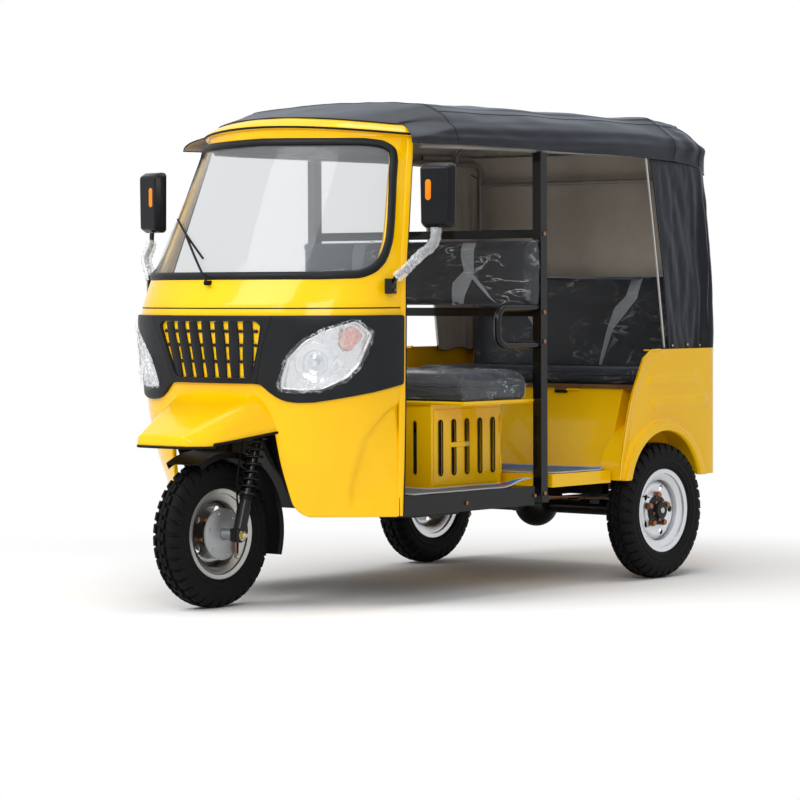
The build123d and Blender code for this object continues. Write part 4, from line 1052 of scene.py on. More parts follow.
def hood_shape(p):
    """Sag between the hoops and the folds that run back from the front corners."""
    out = Vector((0, p.y / 620, 0.25 if abs(p.y) > 560 else 1.0)).normalized()
    side = smooth_step((abs(p.y) - 520) / 60)
    slack = 0.0
    for a, b in zip(HOOPS, HOOPS[1:]):
        if b <= p.x <= a:
            slack = math.sin(math.pi * (a - p.x) / (a - b)) ** 2
    shift = -7.0 * slack * (1 - side)
    long_fold = noise.noise(Vector((p.x / 420, p.y / 160, p.z / 42 + p.x / 1500)))
    fine_fold = noise.noise(Vector((p.x / 130, p.y / 75, p.z / 30 + 5)))
    corner = math.exp(-((p.x - 520) / 160) ** 2) * side * math.sin((p.z - 1716) / 9.0 + p.x / 45) * 4
    rear = smooth_step((-900 - p.x) / 250) * noise.noise(Vector((p.x / 60, p.y / 200, p.z / 80))) * 7
    roll = 7.0 * side * math.exp(-((p.z - 1735) / 18) ** 2)
    return out * (shift + long_fold * (5 + 5 * side) + fine_fold * 2.6 + corner + rear + roll)


verts = []
for r, row in enumerate(sheet_rows):
    verts += [p + hood_shape(p) * smooth_step(r / 6 + 0.15) for p in row]
wide = len(sheet_rows[0])
faces = quad_strip(len(sheet_rows), wide)


def sheet_sizes(verts, wide):
    """Length of the widest row and of the middle column, in metres."""
    rows = [verts[k:k + wide] for k in range(0, len(verts), wide)]
    across = max(sum((b - a).length for a, b in zip(row, row[1:])) for row in rows)
    columns = list(zip(*rows))
    along = max(sum((b - a).length for a, b in zip(c, c[1:])) for c in columns[::8])
    return across * MM, along * MM


def cloth_piece(name, verts, faces, wide, outward, thickness=2.4, **held):
    """A two-faced sheet: hood cloth outside, lining inside."""
    obj = piece(name, verts, faces, hood_cloth, angle=70)
    total = sum((p.normal.dot(outward(p.center / MM)) for p in obj.data.polygons))
    if total < 0:
        obj.data.flip_normals()
    obj.data.materials.append(lining_cloth)
    modified(obj, "SOLIDIFY", thickness=thickness * MM, offset=-1, material_offset=1)
    obj.data.set_sharp_from_angle(angle=math.radians(70))
    sheet_sizes(verts, wide)
    return obj


roof = cloth_piece("hood_roof", verts, faces, wide, lambda c: Vector((0, c.y * 0.6, c.z - 1600)),
                   held="stretched", rests_on=["hood_frame"])
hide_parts("hood")
print("hood roof faces", len(roof.data.polygons))

# %% Rear quarters and back
QUARTER_FRONT = ((905, -1000), (920, -998), (1236, -957), (1467, -917), (1690, -882), (1750, -872))  # z, x
QUARTER_PLAN = ((905, 607, -1312), (1183, 609, -1326), (1500, 605, -1304), (1694, 600, -1282), (1750, 590, -1262))
CORNER = 60.0
quarter_cells = []
LEVELS = 64
SIDE, TURN, BACK = 34, 12, 40
for level in range(LEVELS + 1):
    z = 912 + (1738 - 912) * level / LEVELS
    start = table_at(QUARTER_FRONT, z)[0]
    half, rear = table_at(QUARTER_PLAN, z)
    row = []
    for k in range(SIDE):
        row.append((start + (rear + CORNER - start) * k / SIDE, half, 0, 1))
    for k in range(TURN):
        back, out = math.sin(math.pi / 2 * k / TURN), math.cos(math.pi / 2 * k / TURN)
        row.append((rear + CORNER - CORNER * back, half - CORNER + CORNER * out, back, out))
    for k in range(BACK // 2 + 1):
        row.append((rear, (half - CORNER) * (1 - k / (BACK / 2)), 1, 0))
    line = []
    for k, (x, y, backward, sideways) in enumerate(row):
        down = (1738 - z) / (1738 - 912)
        near_corner = math.exp(-((k - SIDE - 2) / 9.0) ** 2)
        pleat = math.sin(k * 0.95 + 1.6 * down + 0.8 * math.sin(down * 4)) * near_corner * 13 * smooth_step(down * 1.8)
        swell = noise.noise(Vector((k / 5.0, z / 210, 3.0))) * 9 * smooth_step(down * 2.5)
        fine = noise.noise(Vector((k / 2.2, z / 60, 8.0))) * 2.2
        flare = 14 * smooth_step((down - 0.45) / 0.5) * math.exp(-((k - SIDE - 8) / 7.0) ** 2)
        tuck = -6 * smooth_step((z - 1640) / 50)
        edge_calm = smooth_step(k / 5)
        shift = (pleat + swell + fine + flare) * edge_calm + tuck
        dip = 6 * math.sin(k / 4.0) * math.exp(-((z - 912) / 25) ** 2) * edge_calm
        line.append(Vector((x - backward * shift, y + sideways * shift, z - dip)))
    quarter_cells.append(line + [Vector((p.x, -p.y, p.z)) for p in reversed(line[:-1])])
verts = [p for row in quarter_cells for p in row]
wide = len(quarter_cells[0])
faces = quad_strip(LEVELS + 1, wide)
back = cloth_piece("hood_back", verts, faces, wide, lambda c: Vector((c.x + 900, c.y, 0)),
                   held="hung", rests_on=["hood_frame", "side_panels"])

# %% Hems, seams and studs of the hood
def run_along(name, points, radius, material, normals=None, flat=1.0):
    """A bead along points; its outward side faces away from the middle."""
    points = [Vector(p) for p in points]
    normals = normals or [Vector((0.05, p.y, 60)).normalized() for p in points]
    return sweep(name, points, normals, round_section(radius, 8, flat), material)


def roof_point(row, column):
    p = sheet_rows[row][column]
    return p + hood_shape(p) * smooth_step(row / 6 + 0.15)


last = len(sheet_rows) - 1
width_count = len(sheet_rows[0])
for side, column in (("left", 0), ("right", width_count - 1)):
    run_along(f"roof_hem_{side}", [roof_point(r, column) for r in range(0, last - 8, 2)], 3.4, hood_cloth,
              normals=[Vector((0, 1 if column == 0 else -1, 0))] * len(range(0, last - 8, 2)), flat=0.7)
for label, row in (("front", 0), ("ridge", STEPS_PER_ROW), ("rear", 6 * STEPS_PER_ROW), ("tail", 8 * STEPS_PER_ROW)):
    run_along(f"roof_seam_{label}", [roof_point(row, c) for c in range(2, width_count - 2)],
              2.6 if label == "front" else 2.0, hood_cloth)
for side, c0 in (("left", 29), ("right", width_count - 30)):
    run_along(f"roof_ridge_seam_{side}", [roof_point(r, c0) for r in range(STEPS_PER_ROW, last - 10)], 2.0, hood_cloth)
for side, column in (("left", 0), ("right", wide - 1)):
    run_along(f"quarter_edge_{side}", [quarter_cells[r][column] for r in range(0, LEVELS + 1, 2)], 3.4, hood_cloth,
              normals=[Vector((0, 1 if column == 0 else -1, 0))] * len(range(0, LEVELS + 1, 2)), flat=0.8)
hem = quarter_cells[0]
run_along("quarter_hem", hem, 3.2, hood_cloth, normals=[Vector((p.x + 900, p.y, 0)).normalized() for p in hem],
          flat=0.8)
stud_spots = [(quarter_cells[2][k], quarter_cells[3][k]) for k in (3, 17, 31, wide - 4, wide - 18, wide - 32)]
for index, (p, _) in enumerate(stud_spots):
    sign = 1 if p.y > 0 else -1
    turned(f"hem_stud_{index + 1}", ((0.01, 3.2 * sign), (3.0, 2.8 * sign), (5.2, 1.2 * sign), (5.6, -1.5 * sign)),
           (p.x, p.y + sign * 1.5, p.z), bright_zinc, steps=16, closed=False)
for side, sign in SIDES:
    tube(f"quarter_pole_{side}", [(-868, sign * 585, 1700), (-905, sign * 590, 1450), (-944, sign * 592, 1200),
                                  (-985, sign * 592, 930)], 5, bright_zinc, bend=60)

# %% [markdown]
# ## Seats
# Each pad starts as a rounded block a little smaller than the seat. It is remeshed
# into small cells and blown up like a bag by a short cloth simulation, so its
# sides swell between the corners. A piped seam and grey inlays go on afterwards,
# and the delivery film is a crinkled copy just outside.

# %% Stuffed pads
def stuffed(name, low, high, radius, material, pinned, body="body", cap=14.0, cell=9.0):
    """A pad blown up by cloth pressure; pinned says which points stay put."""
    obj = rounded_block(name, low, high, material, radius=radius, body=body, steps=4)
    modified(obj, "REMESH", mode="VOXEL", voxel_size=cell * MM, use_smooth_shade=True)
    if not obj.data.materials:
        obj.data.materials.append(material)
    start = [v.co.copy() for v in obj.data.vertices]
    group = obj.vertex_groups.new(name="held")
    group.add([v.index for v in obj.data.vertices if pinned(v.co / MM)], 1.0, "REPLACE")
    cloth = obj.modifiers.new("swell", "CLOTH")
    cloth.settings.quality = 4
    cloth.settings.mass = 0.3
    cloth.settings.tension_stiffness = 12
    cloth.settings.compression_stiffness = 12
    cloth.settings.bending_stiffness = 1.5
    cloth.settings.use_pressure = True
    cloth.settings.uniform_pressure_force = 4.0
    cloth.settings.vertex_group_mass = "held"
    cloth.settings.effector_weights.gravity = 0.0
    cloth.collision_settings.use_self_collision = False
    cloth.point_cache.frame_start = 1
    cloth.point_cache.frame_end = 20
    for frame_number in range(1, 21):
        scene.frame_set(frame_number)
    bake(obj)
    scene.frame_set(1)
    for v, rest in zip(obj.data.vertices, start):
        move = v.co - rest
        if move.length > cap * MM:
            v.co = rest + move.normalized() * cap * MM
    modified(obj, "SMOOTH", factor=0.5, iterations=4)
    obj.data.polygons.foreach_set("use_smooth", [True] * len(obj.data.polygons))
    return obj


def wrapped(name, pad, keep, size=3.0, depth=5.0, body="body", material=None, stretch=(1, 1, 1)):
    """Crinkled film just outside the faces of a pad that keep(centre, normal) picks."""
    bm = bmesh.new()
    bm.from_mesh(pad.data)
    bm.normal_update()
    for f in [f for f in bm.faces if not keep(f.calc_center_median() / MM, f.normal)]:
        bm.faces.remove(f)
    for v in [v for v in bm.verts if not v.link_faces]:
        bm.verts.remove(v)
    bmesh.ops.subdivide_edges(bm, edges=bm.edges, cuts=1, use_grid_fill=True)
    sx, sy, sz = stretch
    for v in bm.verts:
        p = v.co / MM
        q = Vector((p.x * sx, p.y * sy, p.z * sz))
        fold = 1 - abs(noise.noise(q / 62 + Vector((3, 1, 7)))) * 2.4
        small = 1 - abs(noise.noise(q / 24 + Vector((8, 2, 1)))) * 2.2
        v.co += v.normal * (size + depth * max(0.0, fold) ** 3 + depth * 0.45 * max(0.0, small) ** 3) * MM
    area = sum(f.calc_area() for f in bm.faces)
    mesh = bpy.data.meshes.new(name)
    bm.to_mesh(mesh)
    bm.free()
    mesh.materials.clear()
    mesh.materials.append(material or wrap_film)
    mesh.polygons.foreach_set("use_smooth", [True] * len(mesh.polygons))
    obj = bpy.data.objects.new(name, mesh)
    scene.collection.objects.link(obj)
    settle(obj, body, material or wrap_film)
    spans = sorted((max(v.co[k] for v in mesh.vertices) - min(v.co[k] for v in mesh.vertices) for k in range(3)))
    wide = spans[1] + spans[0]
    return obj


# %% Delivery film on the seats
def highlight_streaked_film(name, turn, scale, clear_share=0.04, crease_highlight_share=0.62):
    """Clear film whose creases run one way, with painted highlights: long streaks made whiter and more opaque."""
    mat, tree, shader, coords = finish(name, "#EEF2F6", Roughness=0.14)
    aim = add(tree, "ShaderNodeMapping", {"Vector": coords, "Rotation": turn, "Scale": scale})
    wave = add(tree, "ShaderNodeTexNoise", {"Vector": aim.outputs[0], "Scale": 1.0, "Detail": 3.0, "Distortion": 0.6})
    middle = add(tree, "ShaderNodeMath", {0: wave.outputs["Fac"], 1: 0.5}, operation="SUBTRACT")
    ridge = add(tree, "ShaderNodeMath", {0: middle.outputs[0]}, operation="ABSOLUTE")
    line = add(tree, "ShaderNodeMapRange", {"Value": ridge.outputs[0], "From Min": 0.002, "From Max": 0.022,
                                            "To Min": 1.0, "To Max": 0.0})
    patch = add(tree, "ShaderNodeTexNoise", {"Vector": coords, "Scale": 7.0, "Detail": 3.0})
    mask = add(tree, "ShaderNodeMapRange", {"Value": patch.outputs["Fac"], "From Min": 0.46, "From Max": 0.66})
    shine = add(tree, "ShaderNodeMath", {0: line.outputs["Result"], 1: mask.outputs["Result"]}, operation="MULTIPLY")
    # Painted highlight: thin ridges of the stretched noise, in patches, are made more opaque so the near-white film
    # shows light streaks.
    alpha = add(tree, "ShaderNodeMapRange", {"Value": shine.outputs[0], "To Min": clear_share, "To Max": crease_highlight_share})
    tree.links.new(alpha.outputs["Result"], shader.inputs["Alpha"])
    grained(tree, shader, wave.outputs["Fac"], 0.012, 0.8)
    mat.surface_render_method = "BLENDED"
    return mat


cushion_film = highlight_streaked_film("cushion film", (0, 0, 0.1), (26, 4.5, 34), 0.06, 0.7)
back_film = highlight_streaked_film("backrest film", (0.75, 0, 0), (10, 5, 24), 0.04, 0.6)
bench_film = highlight_streaked_film("bench film", (-0.5, 0, 0), (10, 7, 18), 0.02, 0.28)

# %% Driver's cushion and backrest
driver_cushion = stuffed("driver_seat_pad", (-138, -562, 745), (280, 562, 838), 30, seat_vinyl,
                         lambda p: p.z < 749, cap=14)
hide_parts("driver_cushion")
wrapped("driver_seat_film", driver_cushion, lambda c, n: c.z > 752, depth=8, stretch=(1, 0.4, 1),
        material=cushion_film)
driver_back = stuffed("driver_back_pad", (-153, -600, 1098), (-106, 600, 1368), 20, seat_vinyl,
                      lambda p: p.x < -150, cap=10, cell=8)
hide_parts("driver_backrest")
wrapped("driver_back_film", driver_back, lambda c, n: c.x > -146, depth=5, stretch=(1, 0.6, 1.2), material=back_film)

# %% Bench cushion and backrest
bench_pad = stuffed("bench_seat_pad", (-1128, -580, 783), (-796, 580, 836), 20, seat_vinyl,
                    lambda p: p.z < 786, body="bench_lid", cap=12)
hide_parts("bench_cushion")
wrapped("bench_seat_film", bench_pad, lambda c, n: c.z > 792, body="bench_lid", depth=4, size=2.0,
        stretch=(1, 0.5, 1), material=bench_film)

# %% [markdown]
# ## Wheels
# Each tyre is a turned carcass with rows of tread blocks. One pair of blocks is
# modelled and a Geometry Nodes tree repeats it around the axle. The rear rims are
# silver with a black hub and five copper-toned nuts; the front rim is brighter.

# %% Repeating around an axle
def ring_tree():
    """Geometry Nodes tree: repeat the input mesh around the Y axis."""
    tree = bpy.data.node_groups.new("blocks around axle", "GeometryNodeTree")
    face = tree.interface
    face.new_socket("Block", in_out="INPUT", socket_type="NodeSocketGeometry")
    count = face.new_socket("Count", in_out="INPUT", socket_type="NodeSocketInt")
    face.new_socket("Material", in_out="INPUT", socket_type="NodeSocketMaterial")
    face.new_socket("Ring", in_out="OUTPUT", socket_type="NodeSocketGeometry")
    count.default_value = 36
    given = add(tree, "NodeGroupInput").outputs
    line = add(tree, "GeometryNodeMeshLine", {"Count": given["Count"], "Offset": (0, 0, 0)})
    index = add(tree, "GeometryNodeInputIndex")
    share = add(tree, "ShaderNodeMath", {0: index.outputs[0], 1: given["Count"]}, operation="DIVIDE")
    angle = add(tree, "ShaderNodeMath", {0: share.outputs[0], 1: math.tau}, operation="MULTIPLY")
    turn = add(tree, "ShaderNodeCombineXYZ", {"Y": angle.outputs[0]})
    copies = add(tree, "GeometryNodeInstanceOnPoints", {"Points": line.outputs[0], "Instance": given["Block"],
                                                        "Rotation": turn.outputs[0]})
    real = add(tree, "GeometryNodeRealizeInstances", {0: copies.outputs[0]})
    paint = add(tree, "GeometryNodeSetMaterial", {"Geometry": real.outputs[0], "Material": given["Material"]})
    add(tree, "NodeGroupOutput", {0: paint.outputs[0]})
    return tree


RING = ring_tree()


def around_axle(name, verts, faces, material, count, centre, body):
    """Bake count copies of a small mesh, given about the axle, around it."""
    mesh = bpy.data.meshes.new(name)
    mesh.from_pydata([Vector(v) * MM for v in verts], [], faces)
    obj = bpy.data.objects.new(name, mesh)
    scene.collection.objects.link(obj)
    modifier = obj.modifiers.new("ring", "NODES")
    modifier.node_group = RING
    sockets = {s.name: s.identifier for s in RING.interface.items_tree if s.in_out == "INPUT"}
    modifier[sockets["Count"]] = count
    modifier[sockets["Material"]] = material
    bake(obj)
    for v in obj.data.vertices:
        v.co += Vector(centre) * MM
    obj.data.update()
    face_outward(obj)
    settle(obj, body, material)
    return obj


# %% Tread
TREAD_TOP = ((0, 274), (14, 273.6), (28, 272), (41, 268), (49, 260), (55, 246), (58.4, 230))  # width, radius
TREAD_BASE = ((0, 264), (14, 263.5), (28, 262), (39, 258), (46, 250), (52, 238), (57, 226))


def block(stations, half_angle, lean, w_sign=1, shift=0.0, start=0.0):
    """One tread block from stations along the tread; angles in degrees."""
    verts = []
    for k in stations:
        (wt, rt), (wb, rb) = TREAD_TOP[k], TREAD_BASE[k]
        narrow = 1.0 if k not in (stations[0], stations[-1]) else 0.9
        wide = 1 + 0.25 * (k / 6)
        for (w, r), grow in (((wb, rb), 1.12), ((wt, rt), narrow)):
            w = max(w, start)
            for side in (-1, 1):
                a = math.radians(shift + lean * k + side * half_angle * wide * grow * 274 / r)
                verts.append((r * math.sin(a), w_sign * w, r * math.cos(a)))
    faces = []
    count = len(stations)
    for i in range(count - 1):
        b = 4 * i
        faces += [(b + 2, b + 3, b + 7, b + 6), (b, b + 2, b + 6, b + 4), (b + 3, b + 1, b + 5, b + 7)]
    faces += [(0, 1, 3, 2), (4 * count - 4, 4 * count - 2, 4 * count - 1, 4 * count - 3)]
    return verts, faces


def joined(parts):
    verts, faces = [], []
    for v, f in parts:
        base = len(verts)
        verts += v
        faces += [tuple(i + base for i in face) for face in f]
    return verts, faces


BLOCKS = joined([
    block((2, 3, 4, 5, 6), 2.7, 0.55, 1), block((2, 3, 4, 5, 6), 2.7, -0.55, -1, 5.0),
    block((0, 1), 3.3, 1.1, 1, -1.2, 1.5), block((0, 1), 3.3, -1.1, -1, 6.2, 1.5),
    block((5, 6), 1.5, 0.0, 1, 6.2), block((5, 6), 1.5, 0.0, -1, 0.6),
])


def tyre_profile():
    """Closed section of the carcass: tread base, ribbed sidewalls, bead."""
    side = [(264, 0), (263.5, 14), (262, 28), (258, 39), (250, 46), (238, 52), (226, 57), (222, 58.6), (219, 58.8),
            (217, 57.6), (214, 57.8), (204, 57.2), (201, 58.4), (198, 58.4), (196, 56.8), (186, 55.0), (183, 55.8),
            (180, 55.6), (178, 53.6), (172, 50.5), (168.5, 47.6), (168, 43), (155, 42.6), (153, 40), (153, 27),
            (171, 33), (224, 47), (250, 36), (254, 0)]
    return side + [(r, -w) for r, w in reversed(side[1:-1])]


WHEELS = {  # name: centre, body, side facing out
    "front": ((1067, 0, 274), "front_wheel", 1),
    "rear_left": ((-902, 599, 274), "rear_wheel_left", 1),
    "rear_right": ((-902, -599, 274), "rear_wheel_right", -1),
}


def part_of(wheel, kind):
    """Name of the CAD piece, such as rear_tyre_left."""
    end, _, side = wheel.partition("_")
    return f"{end}_{kind}" + (f"_{side}" if side else "")


for wheel, (centre, body, sign) in WHEELS.items():
    carcass = turned(f"{wheel}_carcass", tyre_profile(), centre, tyre_rubber, body=body, steps=128)
    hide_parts(part_of(wheel, "tyre"))
    around_axle(f"{wheel}_tread", BLOCKS[0], BLOCKS[1], tyre_rubber, 36, centre, body)
print("tyres done")

# %% Rims
def rim_profile():
    """Section of the pressed barrel, thin wall, with a rolled flange."""
    skin = [(167, -47), (169.5, -45.5), (169.5, -43.5), (165, -42.6), (153.4, -42), (152.2, -40), (152.2, -33),
            (146, -30), (128, -24), (126.4, -22), (126.4, 22), (128, 24), (146, 30), (152.2, 33), (152.2, 40),
            (153.4, 42), (165, 42.6), (169.5, 43.5), (169.5, 45.5), (167, 47)]
    inner = [(165, 46.6), (160, 44.8), (152.5, 44.8), (149.5, 43.4), (148.6, 40), (148.6, 34.5), (144, 33.2),
             (126, 27), (123, 24.5), (122.4, 20), (122.4, -20), (123, -24.5), (126, -27), (144, -33.2),
             (148.6, -34.5), (148.6, -40), (149.5, -43.4), (152.5, -44.8), (160, -44.8), (165, -46.6)]
    return skin + inner


def holed_disc(name, profile, centre, material, body, sign, holes, inner, outer, steps=120):
    """Rim disc following profile (radius, offset), with round holes cut out."""
    def surface(s, z, off=0.0):
        radius = math.hypot(s, z)
        offset = table_at(profile, radius)[0] + off
        return Vector((centre[0] + s, centre[1] + sign * offset, centre[2] + z))
    ring = [(outer * math.cos(math.tau * k / 72), outer * math.sin(math.tau * k / 72)) for k in range(72)]
    bore = [(inner * math.cos(math.tau * k / 40), inner * math.sin(math.tau * k / 40)) for k in range(40)]
    cuts = [bore]
    for (hx, hz, hr) in holes:
        cuts.append([(hx + hr * math.cos(math.tau * k / 24), hz + hr * math.sin(math.tau * k / 24)) for k in range(24)])
    return panel(name, ring, cuts, surface, 3.2, material, edge=1.0, spacing=12.0, body=body)


DISC = ((30, 14), (62, 14), (70, 12), (84, 11), (92, 14.5), (104, 15), (112, 12), (119, 5), (122.6, -2))
hand_holes = [(*on_circle(92, 36 + 72 * k), 12.5) for k in range(5)]
for wheel, (centre, body, sign) in WHEELS.items():
    metal = rim_silver if wheel != "front" else bright_zinc
    barrel = turned(f"{wheel}_rim_barrel", rim_profile(), centre, metal, body=body, steps=128)
    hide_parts(part_of(wheel, "rim"))
    if wheel == "front":
        profile = tuple((r, off - 15) for r, off in DISC)
        holed_disc(f"{wheel}_rim_disc", profile, centre, metal, body, 1, hand_holes, 45, 122.6)
    else:
        holed_disc(f"{wheel}_rim_disc", DISC, centre, metal, body, sign, hand_holes, 32, 122.6)
    ux, uz = on_circle(1, 28 if wheel != "front" else 150)
    root = Vector((centre[0] + 136 * ux, centre[1] + sign * 24, centre[2] + 136 * uz))
    inward = Vector((-ux, 0, -uz))
    tip = root + inward * 8 + Vector((0, sign * 22, 0))
    tube(f"{wheel}_valve_stem", [root, root + inward * 3 + Vector((0, sign * 8, 0)), tip], 3.6, trim_rubber,
         body=body, bend=6)
    tube(f"{wheel}_valve_cap", [tip, tip + (tip - root).normalized() * 11], 3.0, trim_rubber, body=body)

# %% Hubs and nuts
def hexagon(name, centre, radius, low, high, material, body, chamfer=1.0):
    """Hexagon nut with a domed end, along Y."""
    sign = 1 if high > low else -1
    rows = ((0, low), (radius, low), (radius, high - sign * chamfer * 1.5), (radius * 0.82, high),
            (0.01, high + sign * 0.5))
    verts = []
    for r, y in rows[1:]:
        corners = [on_circle(r, 60 * k + 30) for k in range(6)]
        verts += [(centre[0] + dx, y, centre[2] + dz) for dx, dz in corners]
    faces = []
    for i in range(len(rows) - 2):
        faces += [(6 * i + k, 6 * i + (k + 1) % 6, 6 * i + 6 + (k + 1) % 6, 6 * i + 6 + k) for k in range(6)]
    faces.append(tuple(reversed(range(6))))
    obj = piece(name, verts, faces, material, body=body, angle=30)
    face_outward(obj)
    return obj


for wheel in ("rear_left", "rear_right"):
    centre, body, sign = WHEELS[wheel]
    x, y, z = centre
    cup = ((0.01, 44), (18, 44), (24, 42), (27, 37), (31, 30), (33, 24), (46, 21), (54, 18.4), (60, 18))
    turned(f"{wheel}_hub_cup", [(r, sign * w) for r, w in cup], centre, drum_iron, body=body, steps=64,
           closed=False)
    turned(f"{wheel}_hub_badge", ((0.01, sign * 45.6), (11, sign * 45.3), (12, sign * 44)), centre, bright_zinc,
           body=body, steps=32, closed=False)
    for k in range(5):
        a = math.radians(72 * k + 90)
        spot = (x + 62 * math.cos(a), y, z + 62 * math.sin(a))
        turned(f"{wheel}_washer_{k + 1}", ((14.5, sign * 17.4), (14.5, sign * 19.5), (9, sign * 20.5)), spot,
               copper_zinc, body=body, steps=24, closed=False)
        hexagon(f"{wheel}_nut_{k + 1}", spot, 11.5, y + sign * 18, y + sign * 33, copper_zinc, body)
        b = a + math.radians(36)
        hexagon(f"{wheel}_stud_nut_{k + 1}", (x + 38 * math.cos(b), y, z + 38 * math.sin(b)), 7.5, y + sign * 22,
                y + sign * 31, copper_zinc, body)
centre, body, _ = WHEELS["front"]
turned("front_hub_face", ((46, 8), (44, 30), (40, 40), (22, 43), (10.5, 43.5)), centre, drum_iron, body=body, steps=64,
       closed=False)
for k in range(5):
    a = math.radians(72 * k + 54)
    spot = (centre[0] + 62 * math.cos(a), 0, centre[2] + 62 * math.sin(a))
    hexagon(f"front_nut_{k + 1}", spot, 10, 2.6, 15, copper_zinc, body)
    hexagon(f"front_nut_back_{k + 1}", spot, 10, -1.0, -16, copper_zinc, body)

# %% Front axle nuts, brake arm and springs
axle_nut = finish("yellow passivated zinc", "#C6B25A", Metallic=0.9, Roughness=0.35)[0]
FRONT_AXLE = (1067, 0, 274)
for label, sign in SIDES:
    hexagon(f"axle_nut_{label}", FRONT_AXLE, 15, sign * 153.6, sign * 168, axle_nut, "steering")
    turned(f"axle_washer_{label}", ((20, sign * 153), (20, sign * 156.5), (10, sign * 157)), FRONT_AXLE,
           bright_zinc, body="steering", steps=32, closed=False)
    turned(f"axle_end_{label}", ((0.01, sign * 174), (8, sign * 173.5), (9.2, sign * 171.5), (9.2, sign * 160)),
           FRONT_AXLE, bright_zinc, body="steering", steps=24, closed=False)
turned("brake_plate_skin", ((22, 62), (60, 60.5), (66, 58.2), (88, 57.8), (95.5, 55), (96.5, 51), (95.5, 49.5)),
       FRONT_AXLE, brake_alloy, body="steering", steps=96, closed=False)
for k in range(6):
    a = math.radians(60 * k + 15)
    turned(f"plate_boss_{k + 1}", ((0.01, 62.2), (5, 61.8), (6.2, 60.4), (6.4, 57)),
           (1067 + 78 * math.cos(a), 0, 274 + 78 * math.sin(a)), brake_alloy, body="steering", steps=20, closed=False)
tube("brake_arm", [(1015, 66, 282), (1010, 68, 240), (1006, 66, 190)], 6, copper_zinc, body="steering", bend=20)
hexagon("brake_arm_nut", (1015, 0, 282), 9, 68.5, 78, copper_zinc, "steering")
hexagon("brake_clevis", (1006, 0, 188), 8, 60, 78, bright_zinc, "steering")


def fork_point(s, y=0.0, forward=0.0):
    lean = math.radians(16.5)
    return Vector((1067 - s * math.sin(lean) + forward * math.cos(lean), y,
                   274 + s * math.cos(lean) + forward * math.sin(lean)))


for label, sign in SIDES:
    axis = (fork_point(300) - fork_point(100)).normalized()
    side = Vector((0, 1, 0))
    fore = axis.cross(side)
    turns, low, high = 7.6, 159, 369
    line = []
    for k in range(int(turns * 26) + 1):
        t = k / (turns * 26)
        a = math.tau * turns * t
        line.append(fork_point(low + (high - low) * min(1, t), sign * 135)
                    + (side * math.cos(a) + fore * math.sin(a)) * 31)
    coil = tube(f"spring_coil_{label}", line, 5.2, chassis_enamel, body="steering", resolution=8, smooth_line=True)
    if sign > 0:
        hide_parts("fork_springs")
    for s, tall in ((150, 8), (370, 9)):
        cup = [fork_point(s, sign * 135), fork_point(s + tall, sign * 135)]
        tube(f"spring_cup_{label}_{s}", cup, 38.5, chassis_enamel, body="steering", resolution=32)
    tube(f"fork_slider_{label}", [fork_point(18, sign * 135), fork_point(150, sign * 135)], 20.5, chassis_enamel,
         body="steering", resolution=28)
    tube(f"fork_seal_{label}", [fork_point(132, sign * 135), fork_point(150, sign * 135)], 24, trim_rubber,
         body="steering", resolution=28)
    tube(f"fork_rod_{label}", [fork_point(375, sign * 135), fork_point(402, sign * 135)], 19, bright_zinc,
         body="steering", resolution=28)

# %% [markdown]
# ## Seat inlays and the bench backrest
# Grey vinyl shapes are laid on the pads by casting rays at them, so they follow the
# stuffed surface. The bench backrest leans back, so it is stuffed upright and sheared.

# %% Bench backrest
from mathutils.bvhtree import BVHTree


def lean_at(z):
    return -1152 - (z - 847) * 0.1217


bench_back = stuffed("bench_back_pad", (-1196, -556, 772), (-1156, 556, 1229), 16, seat_vinyl,
                     lambda p: p.x < -1190, cap=9, cell=9)
for v in bench_back.data.vertices:
    v.co.x += (lean_at(v.co.z / MM) + 1154) * MM
bench_back.data.update()
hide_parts("bench_backrest")
wrapped("bench_back_film", bench_back, lambda c, n: n.x > 0.2 and c.z > 850, size=1.5, depth=4,
        stretch=(1, 1.3, 0.35), material=bench_film)


def draped(name, outline, pad, body, lift=1.6, thickness=1.2):
    """Inlay of (y, z) outline on the front of a standing pad."""
    tree = BVHTree.FromObject(pad, bpy.context.evaluated_depsgraph_get())

    def surface(s, z, off=0.0):
        hit = tree.ray_cast(Vector((0.3, s * MM, z * MM)), Vector((-1, 0, 0)))[0]
        x = hit.x / MM if hit else -100.0
        return Vector((x + lift + off, s, z))
    return panel(name, outline, [], surface, thickness, inlay_vinyl, edge=0.6, spacing=16.0, body=body)


DRIVER_INLAY = (
    ((246, 1352), (313, 1351), (313, 1227), (250, 1293)),
    ((250, 1293), (313, 1227), (249, 1114), (198, 1108), (206, 1195), (264, 1242)),
    ((289, 1252), (313, 1227), (375, 1165), (417, 1115), (388, 1136), (302, 1214)),
)
BENCH_INLAY = (
    ((276, 1222), (331, 1222), (319, 1130), (204, 998), (174, 998), (207, 1091), (261, 1139)),
    ((204, 998), (174, 998), (143, 850), (158, 850)),
)
for index, outline in enumerate(DRIVER_INLAY):
    for side, sign in SIDES:
        draped(f"driver_inlay_{side}_{index + 1}", [(sign * y, z) for y, z in outline], driver_back, "body",
               lift=1.8 if index != 1 else 1.4)
for index, outline in enumerate(BENCH_INLAY):
    for side, sign in SIDES:
        draped(f"bench_inlay_{side}_{index + 1}", [(sign * y, z) for y, z in outline], bench_back, "body")

# %% Piping on the pads
def outline_of(low, high, radius, z):
    return rounded([(low[0], low[1], z), (high[0], low[1], z), (high[0], high[1], z), (low[0], high[1], z)], radius)


